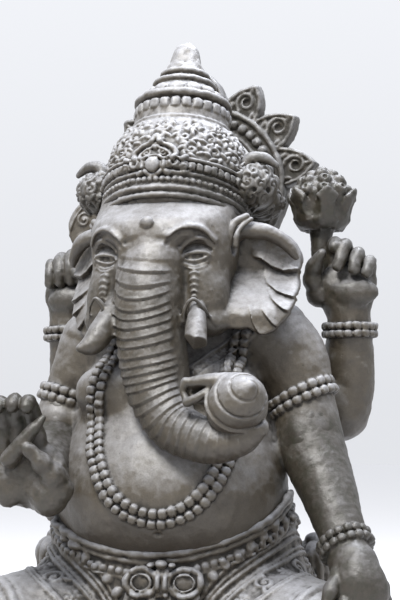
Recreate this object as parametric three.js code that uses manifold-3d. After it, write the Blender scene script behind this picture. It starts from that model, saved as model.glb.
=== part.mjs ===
// A seated four-armed Ganesha in cast cement, as one solid with its low base.
// Millimetres, +Z up. The body faces -Y. The figure is drawn round its own upright line,
// and then moved back so that the origin is the middle of the underside.
import * as THREE from "three";
import { LoftGeometry } from "three/addons/geometries/LoftGeometry.js";
import { mergeVertices } from "three/addons/utils/BufferGeometryUtils.js";
import Module from "manifold-3d";

// Driving dimensions
const BASE = { halfWidth: 418, halfDepth: 318, centreY: -85, height: 84, squareness: 2.7 };
const HEAD_TURN = THREE.MathUtils.degToRad(-8); // the head, crown and arch look to the figure's right
const CROWN = { foot: [6, -8, 1064], lean: THREE.MathUtils.degToRad(10.5), bandRadius: 148 };
const HALO = { y: 222, z: 1146, outer: 176, inner: 120, thickness: 44, leafTurn: THREE.MathUtils.degToRad(26) };
const TRUNK_FOLDS = 12;
const FACES = 9800; // the joined mesh is thinned to this
const JOIN_TOLERANCE = 1.5; // slivers smaller than this close up where two forms meet
const CEMENT = { color: 0x8b8781, roughness: 0.72, metalness: 0 };

const wasm = await Module();
wasm.setup();

const point = (x, y, z) => new THREE.Vector3(x, y, z);

// Stations drawn for the figure's left (+X) side, for either side
const onSide = (side) => (stations) => stations.map(([x, ...rest]) => [side * x, ...rest]);

// Twice the area of each face times its distance: below zero when the faces point in
function signedVolume(positions, index) {
  const corner = (i) => new THREE.Vector3().fromArray(positions, index[i] * 3);
  let sum = 0;
  for (let i = 0; i < index.length; i += 3) sum += corner(i).dot(corner(i + 1).cross(corner(i + 2)));
  return sum;
}

// A closed geometry as a solid that can be joined and cut, with its faces pointing out
function solidOf(geometry) {
  const bare = new THREE.BufferGeometry().copy(geometry);
  bare.deleteAttribute("normal");
  bare.deleteAttribute("uv");
  const merged = mergeVertices(bare, 1e-3);
  const positions = merged.attributes.position.array;
  const index = new Uint32Array(merged.index.array);
  if (signedVolume(positions, index) < 0) index.reverse();
  const shell = { numProp: 3, vertProperties: positions, triVerts: index, tolerance: JOIN_TOLERANCE };
  return new wasm.Manifold(new wasm.Mesh(shell));
}

function geometryOf(solid) {
  const mesh = solid.getMesh();
  const geometry = new THREE.BufferGeometry();
  geometry.setAttribute("position", new THREE.BufferAttribute(mesh.vertProperties, 3));
  geometry.setIndex(new THREE.BufferAttribute(mesh.triVerts, 1));
  geometry.computeVertexNormals();
  return geometry;
}

// The planes that meet at a corner, as sums that give the squared distance of any place from all of them
class PlaneSum {
  constructor() {
    this.terms = new Float64Array(10);
  }

  addPlane({ normal: { x, y, z }, constant: d }, weight) {
    [x * x, x * y, x * z, x * d, y * y, y * z, y * d, z * z, z * d, d * d].forEach((term, i) => {
      this.terms[i] += weight * term;
    });
  }

  addSum(other) {
    other.terms.forEach((term, i) => {
      this.terms[i] += term;
    });
  }

  errorAt({ x, y, z }) {
    const [xx, xy, xz, xd, yy, yz, yd, zz, zd, dd] = this.terms;
    const squares = xx * x * x + yy * y * y + zz * z * z + dd;
    const products = xy * x * y + xz * x * z + yz * y * z + xd * x + yd * y + zd * z;
    return squares + 2 * products;
  }
}

// A closed mesh that can be thinned: each step slides one corner along an edge onto its neighbour
class ThinningMesh {
  constructor(geometry) {
    const place = geometry.attributes.position;
    const index = Array.from(geometry.index.array);
    this.corners = Array.from({ length: place.count }, (_, i) => new THREE.Vector3().fromBufferAttribute(place, i));
    this.facesAt = this.corners.map(() => new Set());
    this.sums = this.corners.map(() => new PlaneSum());
    this.faceCount = 0;
    for (let i = 0; i < index.length; i += 3) this.addFace(index.slice(i, i + 3));
    for (const [corner, faces] of this.facesAt.entries()) {
      for (const face of faces) {
        const triangle = this.triangle(face);
        this.sums[corner].addPlane(triangle.getPlane(new THREE.Plane()), triangle.getArea());
      }
    }
  }

  addFace(face) {
    for (const corner of face) this.facesAt[corner].add(face);
    this.faceCount += 1;
  }

  dropFace(face) {
    for (const corner of face) this.facesAt[corner].delete(face);
    this.faceCount -= 1;
  }

  triangle(face) {
    return new THREE.Triangle(...face.map((corner) => this.corners[corner]));
  }

  neighbours(corner) {
    const found = new Set([...this.facesAt[corner]].flat());
    found.delete(corner);
    return found;
  }

  // The mesh stays closed when the two ends share just two neighbours, and sound when no face turns over
  canSlide(from, to) {
    const shared = [...this.neighbours(from)].filter((corner) => this.neighbours(to).has(corner));
    if (shared.length !== 2) return false;
    return [...this.facesAt[from]].every((face) => {
      if (face.includes(to)) return true;
      const before = this.triangle(face).getNormal(new THREE.Vector3());
      const moved = this.triangle(face.map((corner) => (corner === from ? to : corner)));
      return moved.getArea() > 0.5 && moved.getNormal(new THREE.Vector3()).dot(before) > 0.3;
    });
  }

  slide(from, to) {
    for (const face of [...this.facesAt[from]]) {
      this.dropFace(face);
      if (!face.includes(to)) this.addFace(face.map((corner) => (corner === from ? to : corner)));
    }
    this.sums[to].addSum(this.sums[from]);
  }

  bestSlide(from) {
    let best = { from, to: -1, cost: Infinity };
    for (const to of this.neighbours(from)) {
      const cost = this.sums[from].errorAt(this.corners[to]);
      if (cost < best.cost && this.canSlide(from, to)) best = { from, to, cost };
    }
    return best;
  }

  thinTo(wanted) {
    while (this.faceCount > wanted) {
      const used = [...this.corners.keys()].filter((corner) => this.facesAt[corner].size > 0);
      const slides = used.map((corner) => this.bestSlide(corner)).filter(({ to }) => to >= 0);
      slides.sort((a, b) => a.cost - b.cost);
      const share = slides.slice(0, Math.min(Math.ceil(slides.length / 12), (this.faceCount - wanted) / 2 + 1));
      if (share.length === 0) return;
      const touched = new Set();
      for (const { from, to } of share) {
        if (touched.has(from) || touched.has(to)) continue;
        for (const corner of this.neighbours(from)) touched.add(corner);
        if (this.canSlide(from, to)) this.slide(from, to);
      }
    }
  }

  // The faces joined to the highest corner: the outer skin, without any sealed pocket inside it
  skin() {
    const used = [...this.corners.keys()].filter((corner) => this.facesAt[corner].size > 0);
    const highest = used.reduce((top, corner) => (this.corners[corner].z > this.corners[top].z ? corner : top));
    const reached = new Set([highest]);
    for (const corner of reached) this.neighbours(corner).forEach((next) => reached.add(next));
    return [...new Set([...reached].flatMap((corner) => [...this.facesAt[corner]]))];
  }

  toGeometry() {
    const faces = this.skin();
    const points = faces.flat().map((corner) => this.corners[corner]);
    return mergeVertices(new THREE.BufferGeometry().setFromPoints(points), 1e-4);
  }
}

const joined = (solids) => solids.reduce((whole, piece) => whole.add(piece));

// A ring of points round a centre, in the plane of two directions
function ring(centre, side, up, halfWidth, halfHeight, sides) {
  return Array.from({ length: sides }, (_, i) => {
    const angle = (2 * Math.PI * i) / sides;
    return centre
      .clone()
      .addScaledVector(side, halfWidth * Math.cos(angle))
      .addScaledVector(up, halfHeight * Math.sin(angle));
  });
}

// A limb through stations [x, y, z, radius]. swell(share) scales the radius along the way
function limb(stations, { sides = 10, steps = 10, swell = () => 1 } = {}) {
  const line = new THREE.CatmullRomCurve3(stations.map(([x, y, z]) => point(x, y, z)), false, "centripetal");
  const radii = new THREE.SplineCurve(stations.map((station, i) => new THREE.Vector2(i, station[3])));
  const sections = [];
  let across = null;
  for (let i = 0; i <= steps; i++) {
    const share = i / steps;
    const tangent = line.getTangent(share);
    across ??= Math.abs(tangent.x) < 0.9 ? point(1, 0, 0) : point(0, 1, 0);
    across = across.addScaledVector(tangent, -across.dot(tangent)).normalize();
    const radius = Math.max(1, radii.getPoint(share).y) * swell(share);
    sections.push(ring(line.getPoint(share), across, tangent.clone().cross(across), radius, radius, sides));
  }
  return solidOf(new LoftGeometry(sections, { capStart: true, capEnd: true }));
}

function ball(x, y, z, rx, ry, rz, sides = 8) {
  const geometry = new THREE.SphereGeometry(1, sides, Math.max(3, Math.round(sides / 2)));
  geometry.rotateX(Math.PI / 2);
  geometry.scale(rx, ry, rz);
  geometry.translate(x, y, z);
  return solidOf(geometry);
}

// A limb whose far end is round
function roundLimb(stations, options = {}) {
  const [x, y, z, r] = stations[stations.length - 1];
  return limb(stations, options).add(ball(x, y, z, r, r, r, options.sides ?? 10));
}

// A stack of oval sections [z, halfWidth, halfDepth, centreY]
function stack(levels, sides) {
  const sections = levels.map(([z, halfWidth, halfDepth, centreY]) =>
    ring(point(0, centreY, z), point(1, 0, 0), point(0, 1, 0), halfWidth, halfDepth, sides),
  );
  return solidOf(new LoftGeometry(sections, { capStart: true, capEnd: true }));
}

// A string of beads: a tube that swells at each bead
function beadString(points, { radius, beads, closed = false, sides = 4 }) {
  const line = new THREE.CatmullRomCurve3(points, closed, "centripetal");
  const count = beads * 2;
  const sections = [];
  for (let i = 0; i <= count; i++) {
    const share = closed ? (i % count) / count : i / count;
    const tangent = line.getTangentAt(share);
    const side = point(0, 0, 1).addScaledVector(tangent, -tangent.z);
    if (side.lengthSq() < 0.05) side.set(0, 1, 0).addScaledVector(tangent, -tangent.y);
    side.normalize();
    const size = radius * (i % 2 === 0 ? 0.74 : 1.1);
    sections.push(ring(line.getPointAt(share), side, tangent.cross(side), size, size, sides));
  }
  return solidOf(new LoftGeometry(sections, { capStart: !closed, capEnd: !closed }));
}

// A bangle of two rolls side by side, round a limb that runs along the axis
function bangle(x, y, z, radius, axis) {
  const roll = [[-9, -17], [8, -10], [2, 0], [8, 10], [-9, 17], [-9, -17]];
  const rings = new THREE.LatheGeometry(roll.map(([out, along]) => new THREE.Vector2(radius + out, along)), 12);
  rings.applyQuaternion(new THREE.Quaternion().setFromUnitVectors(point(0, 1, 0), axis.normalize()));
  rings.translate(x, y, z);
  return solidOf(rings);
}

// The low base: a slab with a sunk band, its outline between an oval and an oblong
function base() {
  const { halfWidth, halfDepth, centreY, height, squareness } = BASE;
  const sides = 20;
  const outline = (z, scale) =>
    Array.from({ length: sides }, (_, i) => {
      const angle = (2 * Math.PI * i) / sides;
      const [c, s] = [Math.cos(angle), Math.sin(angle)];
      const reach = scale * (Math.abs(c) ** squareness + Math.abs(s) ** squareness) ** (-1 / squareness);
      return point(halfWidth * reach * c, centreY + halfDepth * reach * s, z);
    });
  const profile = [[0, 1], [26, 1], [34, 0.96], [54, 0.96], [62, 0.99], [height, 0.98]];
  return solidOf(new LoftGeometry(profile.map(([z, s]) => outline(z, s)), { capStart: true, capEnd: true }));
}

// Hips, thighs with the sarong's hem rolled round them, shins, and feet with a row of toes
function legs() {
  const hips = stack(
    [[70, 230, 185, 15], [150, 268, 195, 12], [250, 286, 192, 10], [340, 276, 184, 8], [410, 246, 176, 2],
      [480, 218, 168, -6]], 14);
  const thigh = [[110, -10, 240, 140], [215, -90, 242, 132], [306, -160, 234, 112], [344, -212, 206, 87]];
  const shin = [[344, -214, 200, 84], [285, -282, 162, 70], [200, -328, 146, 58], [110, -350, 134, 50],
    [36, -366, 124, 38]];
  const toes = [[34, -370, 162], [28, -384, 128], [30, -380, 92]];
  const pieces = [hips];
  for (const side of [1, -1]) {
    const flip = onSide(side);
    pieces.push(roundLimb(flip(thigh), { sides: 10, steps: 4 }));
    pieces.push(limb(flip(shin), { sides: 8, steps: 6 }));
    pieces.push(bangle(side * 296, -152, 236, 112, point(side * 0.8, -0.58, -0.12)));
    pieces.push(beadString(flip(toes).map((at) => point(...at)), { radius: 13, beads: 5 }));
  }
  return pieces;
}

// A belt's path: a loop round the hips that dips to the front
function hipLoop(frontZ, sideZ, backZ) {
  return Array.from({ length: 20 }, (_, i) => {
    const angle = (2 * Math.PI * i) / 20;
    const [front, back] = [Math.max(0, -Math.sin(angle)), Math.max(0, Math.sin(angle))];
    const z = sideZ + (frontZ - sideZ) * front ** 1.3 + (backZ - sideZ) * back;
    const halfWidth = THREE.MathUtils.mapLinear(z, 330, 490, 278, 220);
    const halfDepth = THREE.MathUtils.mapLinear(z, 330, 490, 188, 172);
    return point(halfWidth * Math.cos(angle), halfDepth * Math.sin(angle) + 2, z);
  });
}

// The sarong's rolled waist, its belt of beads with a bow, side knots and front pleats
function sarong() {
  const pieces = [
    beadString(hipLoop(404, 468, 490), { radius: 13, beads: 14, closed: true }),
    beadString(hipLoop(372, 440, 466), { radius: 9, beads: 16, closed: true }),
  ];
  for (const side of [-1, 1]) {
    const loop = new THREE.TorusGeometry(20, 8, 4, 8);
    loop.scale(1.15, 1, 1);
    loop.rotateX(Math.PI / 2);
    loop.translate(14 + side * 27, -197, 356);
    pieces.push(solidOf(loop), ball(side * 268, 98, 380, 50, 44, 38));
  }
  pieces.push(ball(14, -182, 352, 66, 22, 34), ball(14, -198, 356, 10, 12, 24, 6));
  for (let fold = -2; fold <= 2; fold++) {
    const x = 8 + fold * 25;
    const pleat = [[x, -176, 335, 16], [x * 1.3, -235, 210, 20], [x * 1.5, -270, 96, 20]];
    pieces.push(limb(pleat, { sides: 5, steps: 2 }));
  }
  return pieces;
}

function torso() {
  const body = stack(
    [[385, 186, 150, -6], [430, 216, 186, -14], [480, 227, 200, -22], [530, 227, 204, -22], [585, 216, 192, -14],
      [645, 200, 168, 2], [700, 190, 148, 14], [760, 190, 134, 26], [815, 176, 116, 36], [865, 130, 98, 34],
      [920, 94, 84, 16]], 16);
  const breasts = [-1, 1].map((side) => ball(side * 96, -82, 706, 84, 58, 60, 10));
  return [body.subtract(ball(10, -212, 446, 10, 12, 9, 6)), ...breasts];
}

// How far forward the chest and belly reach at a place across and a height
function frontOfBody(x, z) {
  const high = THREE.MathUtils.clamp((z - 560) / 290, 0, 1);
  const low = THREE.MathUtils.clamp((520 - z) / 140, 0, 1);
  const reach = 206 - 92 * high - 34 * low * low;
  const half = 228 - 44 * high;
  return -20 + 52 * high - reach * Math.sqrt(Math.max(0.05, 1 - (x / half) ** 2));
}

// A necklace hangs from both shoulders to a round bottom low on the belly
function necklace(bottomZ, halfWidth, topHalfWidth) {
  const topZ = 846;
  const drop = topZ - bottomZ;
  return Array.from({ length: 17 }, (_, i) => {
    const sweep = ((i - 8) / 8) * (Math.PI / 2);
    const lift = 1 - Math.cos(sweep);
    const spread = Math.sin(sweep) * THREE.MathUtils.lerp(halfWidth * 1.1, topHalfWidth, Math.abs(i - 8) / 8);
    const z = bottomZ + drop * lift ** 1.35;
    return point(spread - 4, frontOfBody(spread, z) - 4, z);
  });
}

// The sacred thread: a flat sash from the left shoulder, across the chest, to the right of the belly
function sash() {
  const path = [[150, 862], [128, 800], [96, 730], [40, 660]].map(([x, z]) => [x, frontOfBody(x, z) + 6, z, 20]);
  return limb(path, { sides: 6, steps: 6 });
}

function fingers(stationLists) {
  return stationLists.map((stations) => limb(stations, { sides: 5, steps: 3 }));
}

function frontArms() {
  const left = [[192, 8, 806, 86], [230, 0, 765, 76], [256, -10, 693, 62], [274, -32, 606, 64],
    [312, -88, 515, 53], [344, -146, 432, 42], [350, -158, 410, 40]];
  const right = [[-166, 36, 800, 80], [-186, 30, 760, 70], [-226, 12, 692, 48], [-234, -8, 622, 52],
    [-236, -90, 576, 54], [-228, -165, 552, 48], [-224, -205, 548, 44]];
  const grip = [0, 1, 2, 3].map((i) => {
    const [x, y] = [350 + i * 21, -222 + i * 14];
    return [[x, y, 362, 16], [x + 6, y - 22, 330, 15], [x + 8, y - 30, 286, 12]];
  });
  grip.push([[344, -196, 384, 16], [326, -226, 356, 14], [316, -240, 322, 11]]);
  return [
    limb(left, { sides: 10, steps: 8 }),
    limb(right, { sides: 10, steps: 8 }),
    bangle(255, -9, 694, 64, point(0.42, -0.1, -0.9)),
    bangle(-226, 12, 694, 49, point(0.3, 0.15, 0.94)),
    bangle(346, -148, 427, 43, point(0.4, -0.56, -0.8)),
    ball(370, -186, 378, 44, 44, 58),
    ...fingers(grip),
  ];
}

// The right front hand is raised, palm out, and holds a piece of tusk across the palm
function offeringHand() {
  const raised = [0, 1, 2, 3].map((i) => {
    const x = -184 - i * 29;
    const top = 706 - [8, 0, 2, 16][i];
    return [[x - 2, -232, 584, 19], [x, -246, top - 50, 18], [x + 2, -262, top - 15, 15]];
  });
  raised.push([[-176, -232, 540, 22], [-178, -268, 574, 18], [-200, -288, 604, 13]]);
  return [
    ball(-226, -232, 552, 62, 36, 62, 10),
    ...fingers(raised),
    limb([[-246, -268, 576, 18], [-214, -276, 622, 15], [-186, -268, 662, 8]], { sides: 6, steps: 2 }),
  ];
}

// A back arm leaves the shoulder blade, and its forearm stands up from the elbow to a fist
function backArm(side, x, y) {
  const flip = onSide(side);
  const upper = [[100, 80, 800, 78], [x - 120, y + 10, 724, 66], [x - 14, y + 30, 668, 56]];
  const fore = [[x - 14, y + 30, 664, 55], [x + 2, y + 28, 720, 54], [x + 4, y + 18, 780, 51],
    [x + 8, y + 4, 836, 45], [x + 6, y, 872, 43]];
  const curled = [0, 1, 2, 3].map((i) => {
    const [fx, z] = [x - 26 + i * 23, 1006 - Math.abs(i - 1) * 8];
    return flip([[fx, y, 930, 17], [fx - 2, y - 24, z, 15], [fx - 4, y - 46, z - 30, 13]]);
  });
  curled.push(flip([[x - 46, y, 900, 20], [x - 60, y - 24, 950, 17], [x - 46, y - 44, 996, 13]]));
  return [
    roundLimb(flip(upper), { sides: 10, steps: 4 }),
    limb(flip(fore), { sides: 10, steps: 4 }),
    bangle(side * (x + 8), y + 4, 836, 48, point(0, 0, 1)),
    ball(side * (x + 2), y - 2, 914, 64, 40, 58),
    ...fingers(curled),
  ];
}

// The lotus in the left back hand: a cup of petals round a studded seed head
function lotus() {
  const [x, y, z] = [284, 130, 1040];
  const profile = [[0, -2], [40, 10], [60, 44], [62, 74], [48, 102], [0, 120]];
  const head = new THREE.LatheGeometry(profile.map(([r, h]) => new THREE.Vector2(r, h)), 10);
  head.rotateX(Math.PI / 2);
  head.translate(x, y, z);
  const pieces = [solidOf(head), limb([[282, 112, 915, 18], [282, 130, 1050, 20]], { sides: 6, steps: 1 })];
  for (let i = 0; i < 6; i++) {
    const petal = new THREE.SphereGeometry(1, 6, 4);
    petal.scale(31, 12, 48);
    petal.rotateX(0.35);
    petal.translate(0, -54, 44);
    petal.rotateZ(((i + 0.35) * Math.PI) / 3);
    petal.translate(x, y, z);
    pieces.push(solidOf(petal));
  }
  const studs = ring(point(x, y, z + 104), point(1, 0, 0), point(0, 1, 0), 42, 42, 8);
  pieces.push(beadString(studs, { radius: 14, beads: 8, closed: true }));
  return pieces;
}

// The axe in the right back hand, its curved edge out to the side
function axe() {
  const blade = new THREE.Shape();
  blade.moveTo(-176, 1130);
  blade.quadraticCurveTo(-244, 1132, -262, 1070);
  blade.quadraticCurveTo(-264, 1034, -240, 1008);
  blade.quadraticCurveTo(-224, 1050, -176, 1078);
  const geometry = new THREE.ExtrudeGeometry(blade, { depth: 30, bevelEnabled: false, curveSegments: 4 });
  geometry.rotateX(Math.PI / 2);
  geometry.translate(0, 172, 0);
  return [
    solidOf(geometry),
    limb([[-246, 160, 915, 16], [-214, 158, 1110, 16]], { sides: 6, steps: 1 }),
    limb([[-226, 158, 1030, 22], [-110, 130, 980, 30]], { sides: 6, steps: 1 }),
  ];
}

function face() {
  const skull = stack(
    [[800, 62, 50, -92], [826, 104, 78, -88], [870, 122, 98, -80], [920, 135, 113, -70], [965, 144, 128, -60],
      [1010, 147, 140, -50], [1060, 146, 144, -40], [1100, 142, 140, -30]], 16);
  const pieces = [skull];
  for (const side of [-1, 1]) {
    const brow = [[side * 42, -194, 990, 6], [side * 72, -180, 1008, 9], [side * 104, -150, 1006, 8],
      [side * 128, -112, 982, 5]];
    pieces[0] = pieces[0].subtract(ball(side * 88, -172, 966, 36, 28, 22));
    pieces.push(ball(side * 84, -146, 964, 26, 20, 15), ball(side * 96, -112, 876, 42, 44, 58));
    pieces.push(limb(brow, { sides: 4, steps: 4 }));
  }
  pieces.push(ball(8, -186, 1022, 13, 9, 11, 6));
  return pieces;
}

// The trunk hangs from the brow and curls to the figure's left, its folds as waves
function trunk() {
  const path = [[0, -126, 1002, 48], [-4, -146, 960, 60], [-6, -158, 896, 66], [0, -158, 820, 67],
    [11, -160, 746, 65], [30, -172, 690, 56], [62, -192, 640, 46], [112, -210, 612, 39], [162, -230, 606, 34],
    [204, -248, 622, 31], [224, -256, 648, 28]];
  const swell = (share) => {
    const folded = share > 0.1 && share < 0.88;
    return 1 + (folded ? 0.045 * Math.cos(share * TRUNK_FOLDS * 2 * Math.PI) : 0);
  };
  return limb(path, { sides: 10, steps: TRUNK_FOLDS * 2, swell });
}

// The shell at the trunk's tip: whorls that wind down to a point, with a lip on its left
function shell() {
  const profile = [[0, -62], [34, -54], [56, -16], [52, 0], [46, 4], [36, 28], [30, 31], [20, 50], [15, 52],
    [0, 68]];
  const body = new THREE.LatheGeometry(profile.map(([r, h]) => new THREE.Vector2(r, h)), 10);
  body.rotateX(Math.PI / 2 + Math.PI / 3);
  body.rotateZ(0.35);
  body.translate(196, -238, 682);
  return [
    solidOf(body),
    roundLimb([[194, -230, 722, 22], [146, -226, 730, 16], [104, -222, 728, 12]], { sides: 6, steps: 2 }),
    limb([[164, -230, 700, 16], [120, -224, 674, 8]], { sides: 5, steps: 1 }),
  ];
}

// The right tusk is whole. The left one is broken off short and bluntly
function tusks() {
  return [
    roundLimb([[-66, -140, 886, 26], [-80, -186, 824, 30], [-92, -208, 796, 24], [-106, -220, 792, 10]],
      { sides: 8, steps: 4 }),
    limb([[84, -120, 884, 22], [102, -176, 846, 20], [118, -214, 806, 24]], { sides: 8, steps: 2 }),
    limb([[78, -172, 842, 8], [96, -178, 874, 9], [122, -160, 852, 8]], { sides: 5, steps: 3 }),
  ];
}

// An ear is a fan that stands off the head, with a rolled top and scallops down its edge
function ear(side) {
  const reach = side > 0 ? 1 : 0.88;
  const outline = [[112, 1030], [152, 1052], [200, 1056], [238, 1034], [256, 990], [246, 962], [256, 930],
    [242, 908], [252, 876], [236, 862], [234, 838], [206, 826], [172, 836], [140, 832], [112, 858], [104, 940]];
  const shape = new THREE.Shape(outline.map(([x, z]) => new THREE.Vector2(side * reach * x, z)));
  const geometry = new THREE.ExtrudeGeometry(shape, { depth: 24, bevelEnabled: false });
  geometry.rotateX(Math.PI / 2);
  const place = geometry.attributes.position;
  for (let i = 0; i < place.count; i++) {
    const out = (Math.abs(place.getX(i)) - 110) / 145;
    place.setY(i, place.getY(i) - 30 + 58 * out + 12 * Math.sin(place.getZ(i) / 14) * out * out);
  }
  const roll = [[124, -40, 1022, 18], [160, -38, 1042, 19], [204, -22, 1042, 18], [240, 2, 1014, 17],
    [252, 16, 986, 12]];
  return [solidOf(geometry), limb(onSide(side * reach)(roll), { sides: 6, steps: 6 })];
}

// The crown: a beaded band, a dome, and tiers that step in to a broken finial
function crown() {
  const { foot, lean, bandRadius } = CROWN;
  const profile = [[0, -30], [134, -30], [bandRadius + 3, 0], [bandRadius - 1, 12], [bandRadius + 3, 40],
    [bandRadius + 7, 52], [148, 84], [137, 122], [116, 152], [97, 174], [98, 194], [90, 212], [95, 230], [77, 240],
    [74, 256], [65, 260], [62, 274], [47, 282], [45, 294], [28, 318], [20, 360], [0, 363]];
  const body = new THREE.LatheGeometry(profile.map(([r, h]) => new THREE.Vector2(r, h)), 16);
  body.rotateX(Math.PI / 2);
  const rows = [[26, bandRadius + 2, 20], [200, 96, 14]].map(([z, r, beads]) => {
    const row = ring(point(0, 0, z), point(1, 0, 0), point(0, 1, 0), r, r, beads);
    return beadString(row, { radius: 9, beads, closed: true });
  });
  const medallions = [];
  for (let i = 0; i < 8; i++) {
    const angle = -Math.PI / 2 + (i * Math.PI) / 4;
    const [c, s] = [Math.cos(angle), Math.sin(angle)];
    medallions.push(ball(154 * c, 154 * s, 68, 20, 20, 22, 6));
  }
  const solids = joined([solidOf(body), ...rows, ...medallions]);
  const geometry = geometryOf(solids);
  geometry.rotateX(-lean);
  geometry.translate(...foot);
  // Side knots between the crown, the ears and the arch
  const knots = [-1, 1].flatMap((side) => [
    ball(side * 158, 30, 1120, 30, 50, 36),
    ball(side * 160, 70, 1080, 34, 60, 40),
  ]);
  return [solidOf(geometry), ...knots];
}

// The arch behind the crown: a beaded ring with leaf finials that fan out
function arch() {
  const { y, z, outer, inner, thickness } = HALO;
  const band = new THREE.Shape().absarc(0, 0, outer, 0, 2 * Math.PI);
  band.holes.push(new THREE.Path().absarc(0, 0, inner, 0, 2 * Math.PI, true));
  const plate = new THREE.ExtrudeGeometry(band, { depth: thickness, bevelEnabled: false, curveSegments: 10 });
  const leaf = new THREE.Shape();
  leaf.moveTo(-46, outer - 8);
  leaf.quadraticCurveTo(-34, outer + 44, 8, outer + 72);
  leaf.quadraticCurveTo(42, outer + 40, 42, outer - 8);
  const pieces = [solidOf(plate)];
  for (let i = -3; i <= 3; i++) {
    const finial = new THREE.ExtrudeGeometry(leaf, { depth: thickness - 8, bevelEnabled: false, curveSegments: 3 });
    const curl = new THREE.TorusGeometry(15, 6, 3, 7);
    curl.translate(2, outer + 26, thickness - 8);
    for (const geometry of [finial, curl]) geometry.rotateZ(-i * HALO.leafTurn);
    pieces.push(solidOf(finial), solidOf(curl));
  }
  const beads = 20;
  const middle = (outer + inner) / 2;
  const row = ring(point(0, 0, thickness), point(1, 0, 0), point(0, 1, 0), middle, middle, beads);
  pieces.push(beadString(row, { radius: 9, beads, closed: true }));
  const geometry = geometryOf(joined(pieces));
  geometry.rotateX(Math.PI / 2);
  geometry.translate(0, y + thickness / 2, z);
  // The fill that ties the arch's foot to the neck and the crown
  const back = stack([[860, 120, 70, 110], [960, 128, 84, 136], [1060, 130, 76, 150], [1140, 112, 60, 156]], 10);
  return [solidOf(geometry), back];
}

function head() {
  const pieces = [...face(), trunk(), ...shell(), ...tusks(), ...ear(1), ...ear(-1), ...crown(), ...arch()];
  const geometry = geometryOf(joined(pieces));
  geometry.rotateZ(HEAD_TURN);
  return solidOf(geometry);
}

function statue() {
  return joined([
    base(),
    ...legs(),
    ...sarong(),
    ...torso(),
    beadString(necklace(470, 150, 116), { radius: 12, beads: 26, sides: 3 }),
    beadString(necklace(496, 124, 96), { radius: 12, beads: 24, sides: 3 }),
    sash(),
    ...frontArms(),
    ...offeringHand(),
    ...backArm(1, 332, 116),
    ...backArm(-1, 258, 176),
    ...lotus(),
    ...axe(),
    head(),
  ]);
}

const thinning = new ThinningMesh(geometryOf(statue()));
thinning.thinTo(FACES);
const geometry = thinning.toGeometry();
geometry.computeVertexNormals();

const group = new THREE.Group();
const mesh = new THREE.Mesh(geometry, new THREE.MeshStandardMaterial(CEMENT));
mesh.name = "statue";
mesh.position.y = -BASE.centreY; // the origin is the middle of the underside
group.add(mesh);

export default group;
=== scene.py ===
"""A seated elephant-headed figure cast in grey cement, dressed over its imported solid.

Each form is a distance to a surface, written into a block of space that stands for wet cement. Forms
join softly, as cement does, and the block is then skinned to a mesh. Sizes are in millimetres in the
figure's own frame, and only the finished meshes are moved to metres in the row's frame.
"""

import logging
import math
from dataclasses import dataclass, field
from enum import Enum
from functools import partial
from typing import Callable, Iterable, Sequence

import bpy
import numpy as np
from mathutils import Matrix, Vector

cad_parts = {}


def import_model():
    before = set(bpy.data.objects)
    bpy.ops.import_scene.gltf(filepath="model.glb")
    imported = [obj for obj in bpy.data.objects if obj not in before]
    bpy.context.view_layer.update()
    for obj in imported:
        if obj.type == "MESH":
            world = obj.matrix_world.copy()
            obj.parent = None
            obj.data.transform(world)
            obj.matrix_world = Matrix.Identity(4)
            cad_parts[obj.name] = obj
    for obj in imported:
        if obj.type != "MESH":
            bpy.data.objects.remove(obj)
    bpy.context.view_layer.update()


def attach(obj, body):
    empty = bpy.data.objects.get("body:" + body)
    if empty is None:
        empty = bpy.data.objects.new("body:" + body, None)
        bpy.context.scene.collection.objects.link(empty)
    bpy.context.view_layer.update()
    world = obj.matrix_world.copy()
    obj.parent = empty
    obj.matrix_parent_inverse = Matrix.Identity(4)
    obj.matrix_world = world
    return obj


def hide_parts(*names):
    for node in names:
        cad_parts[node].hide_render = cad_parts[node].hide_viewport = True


LOG = logging.getLogger("statue")

MM = 0.001
FIGURE_BACK = 85.0  # the figure's own frame lies this far in front of the base's middle
HEAD_TURN = math.radians(-8)  # the head, crown and arch look to the figure's right
CROWN_FOOT = (6.0, -8.0, 1064.0)  # where the crown's own frame stands in the head's
CROWN_LEAN = math.radians(10.5)  # the crown leans back
FAR = 40.0  # what the clay holds where no form is near
SEED = 20
OUTLINE_MARGIN = 24.0  # how far an outline's table of distances reaches past it
LANDING_STEPS = 260  # the most steps that a line takes down to the clay
CRUMB_SHARE = 0.02  # a body with a smaller share of the points is dropped
FINE_RELIEF = 1.2  # how deep or proud a point is where the fine shade is full
BROAD_RELIEF = 5.0

Array = np.ndarray
Station = Sequence[float]
Stations = Sequence[Station]
PointRule = Callable[[Array], Array]


class Side(Enum):
    """The figure's own left and right."""

    LEFT = 1
    RIGHT = -1


class Shade(Enum):
    """The per-point values that the cement's finish reads."""

    # darkens creases and hollows with grime and painted shade
    HOLLOW = "hollow"
    WORN = "worn"
    MOSS = "moss"


def array(*values: float) -> Array:
    """A point or direction as floats."""
    return np.array(values, dtype=float)


UP = array(0, 0, 1)
BACK = array(0, 1, 0)
TURN = 2 * math.pi


def unit(direction: Array) -> Array:
    """The direction at length one, along the last axis."""
    return direction / np.maximum(np.linalg.norm(direction, axis=-1, keepdims=True), 1e-9)


def bearing(angle: float) -> Array:
    """The level direction at an angle round the upright axis."""
    return array(math.cos(angle), math.sin(angle), 0)


def around(count: int, shift: float = 0.0) -> list[Array]:
    """Level directions spread evenly, all turned on by a share of one step."""
    return [bearing(TURN * (i + shift) / count) for i in range(count)]


def flipped(stations: Stations, side: float) -> list[Station]:
    """The stations with their x taken to one side."""
    return [(side * s[0], *s[1:]) for s in stations]


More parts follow.
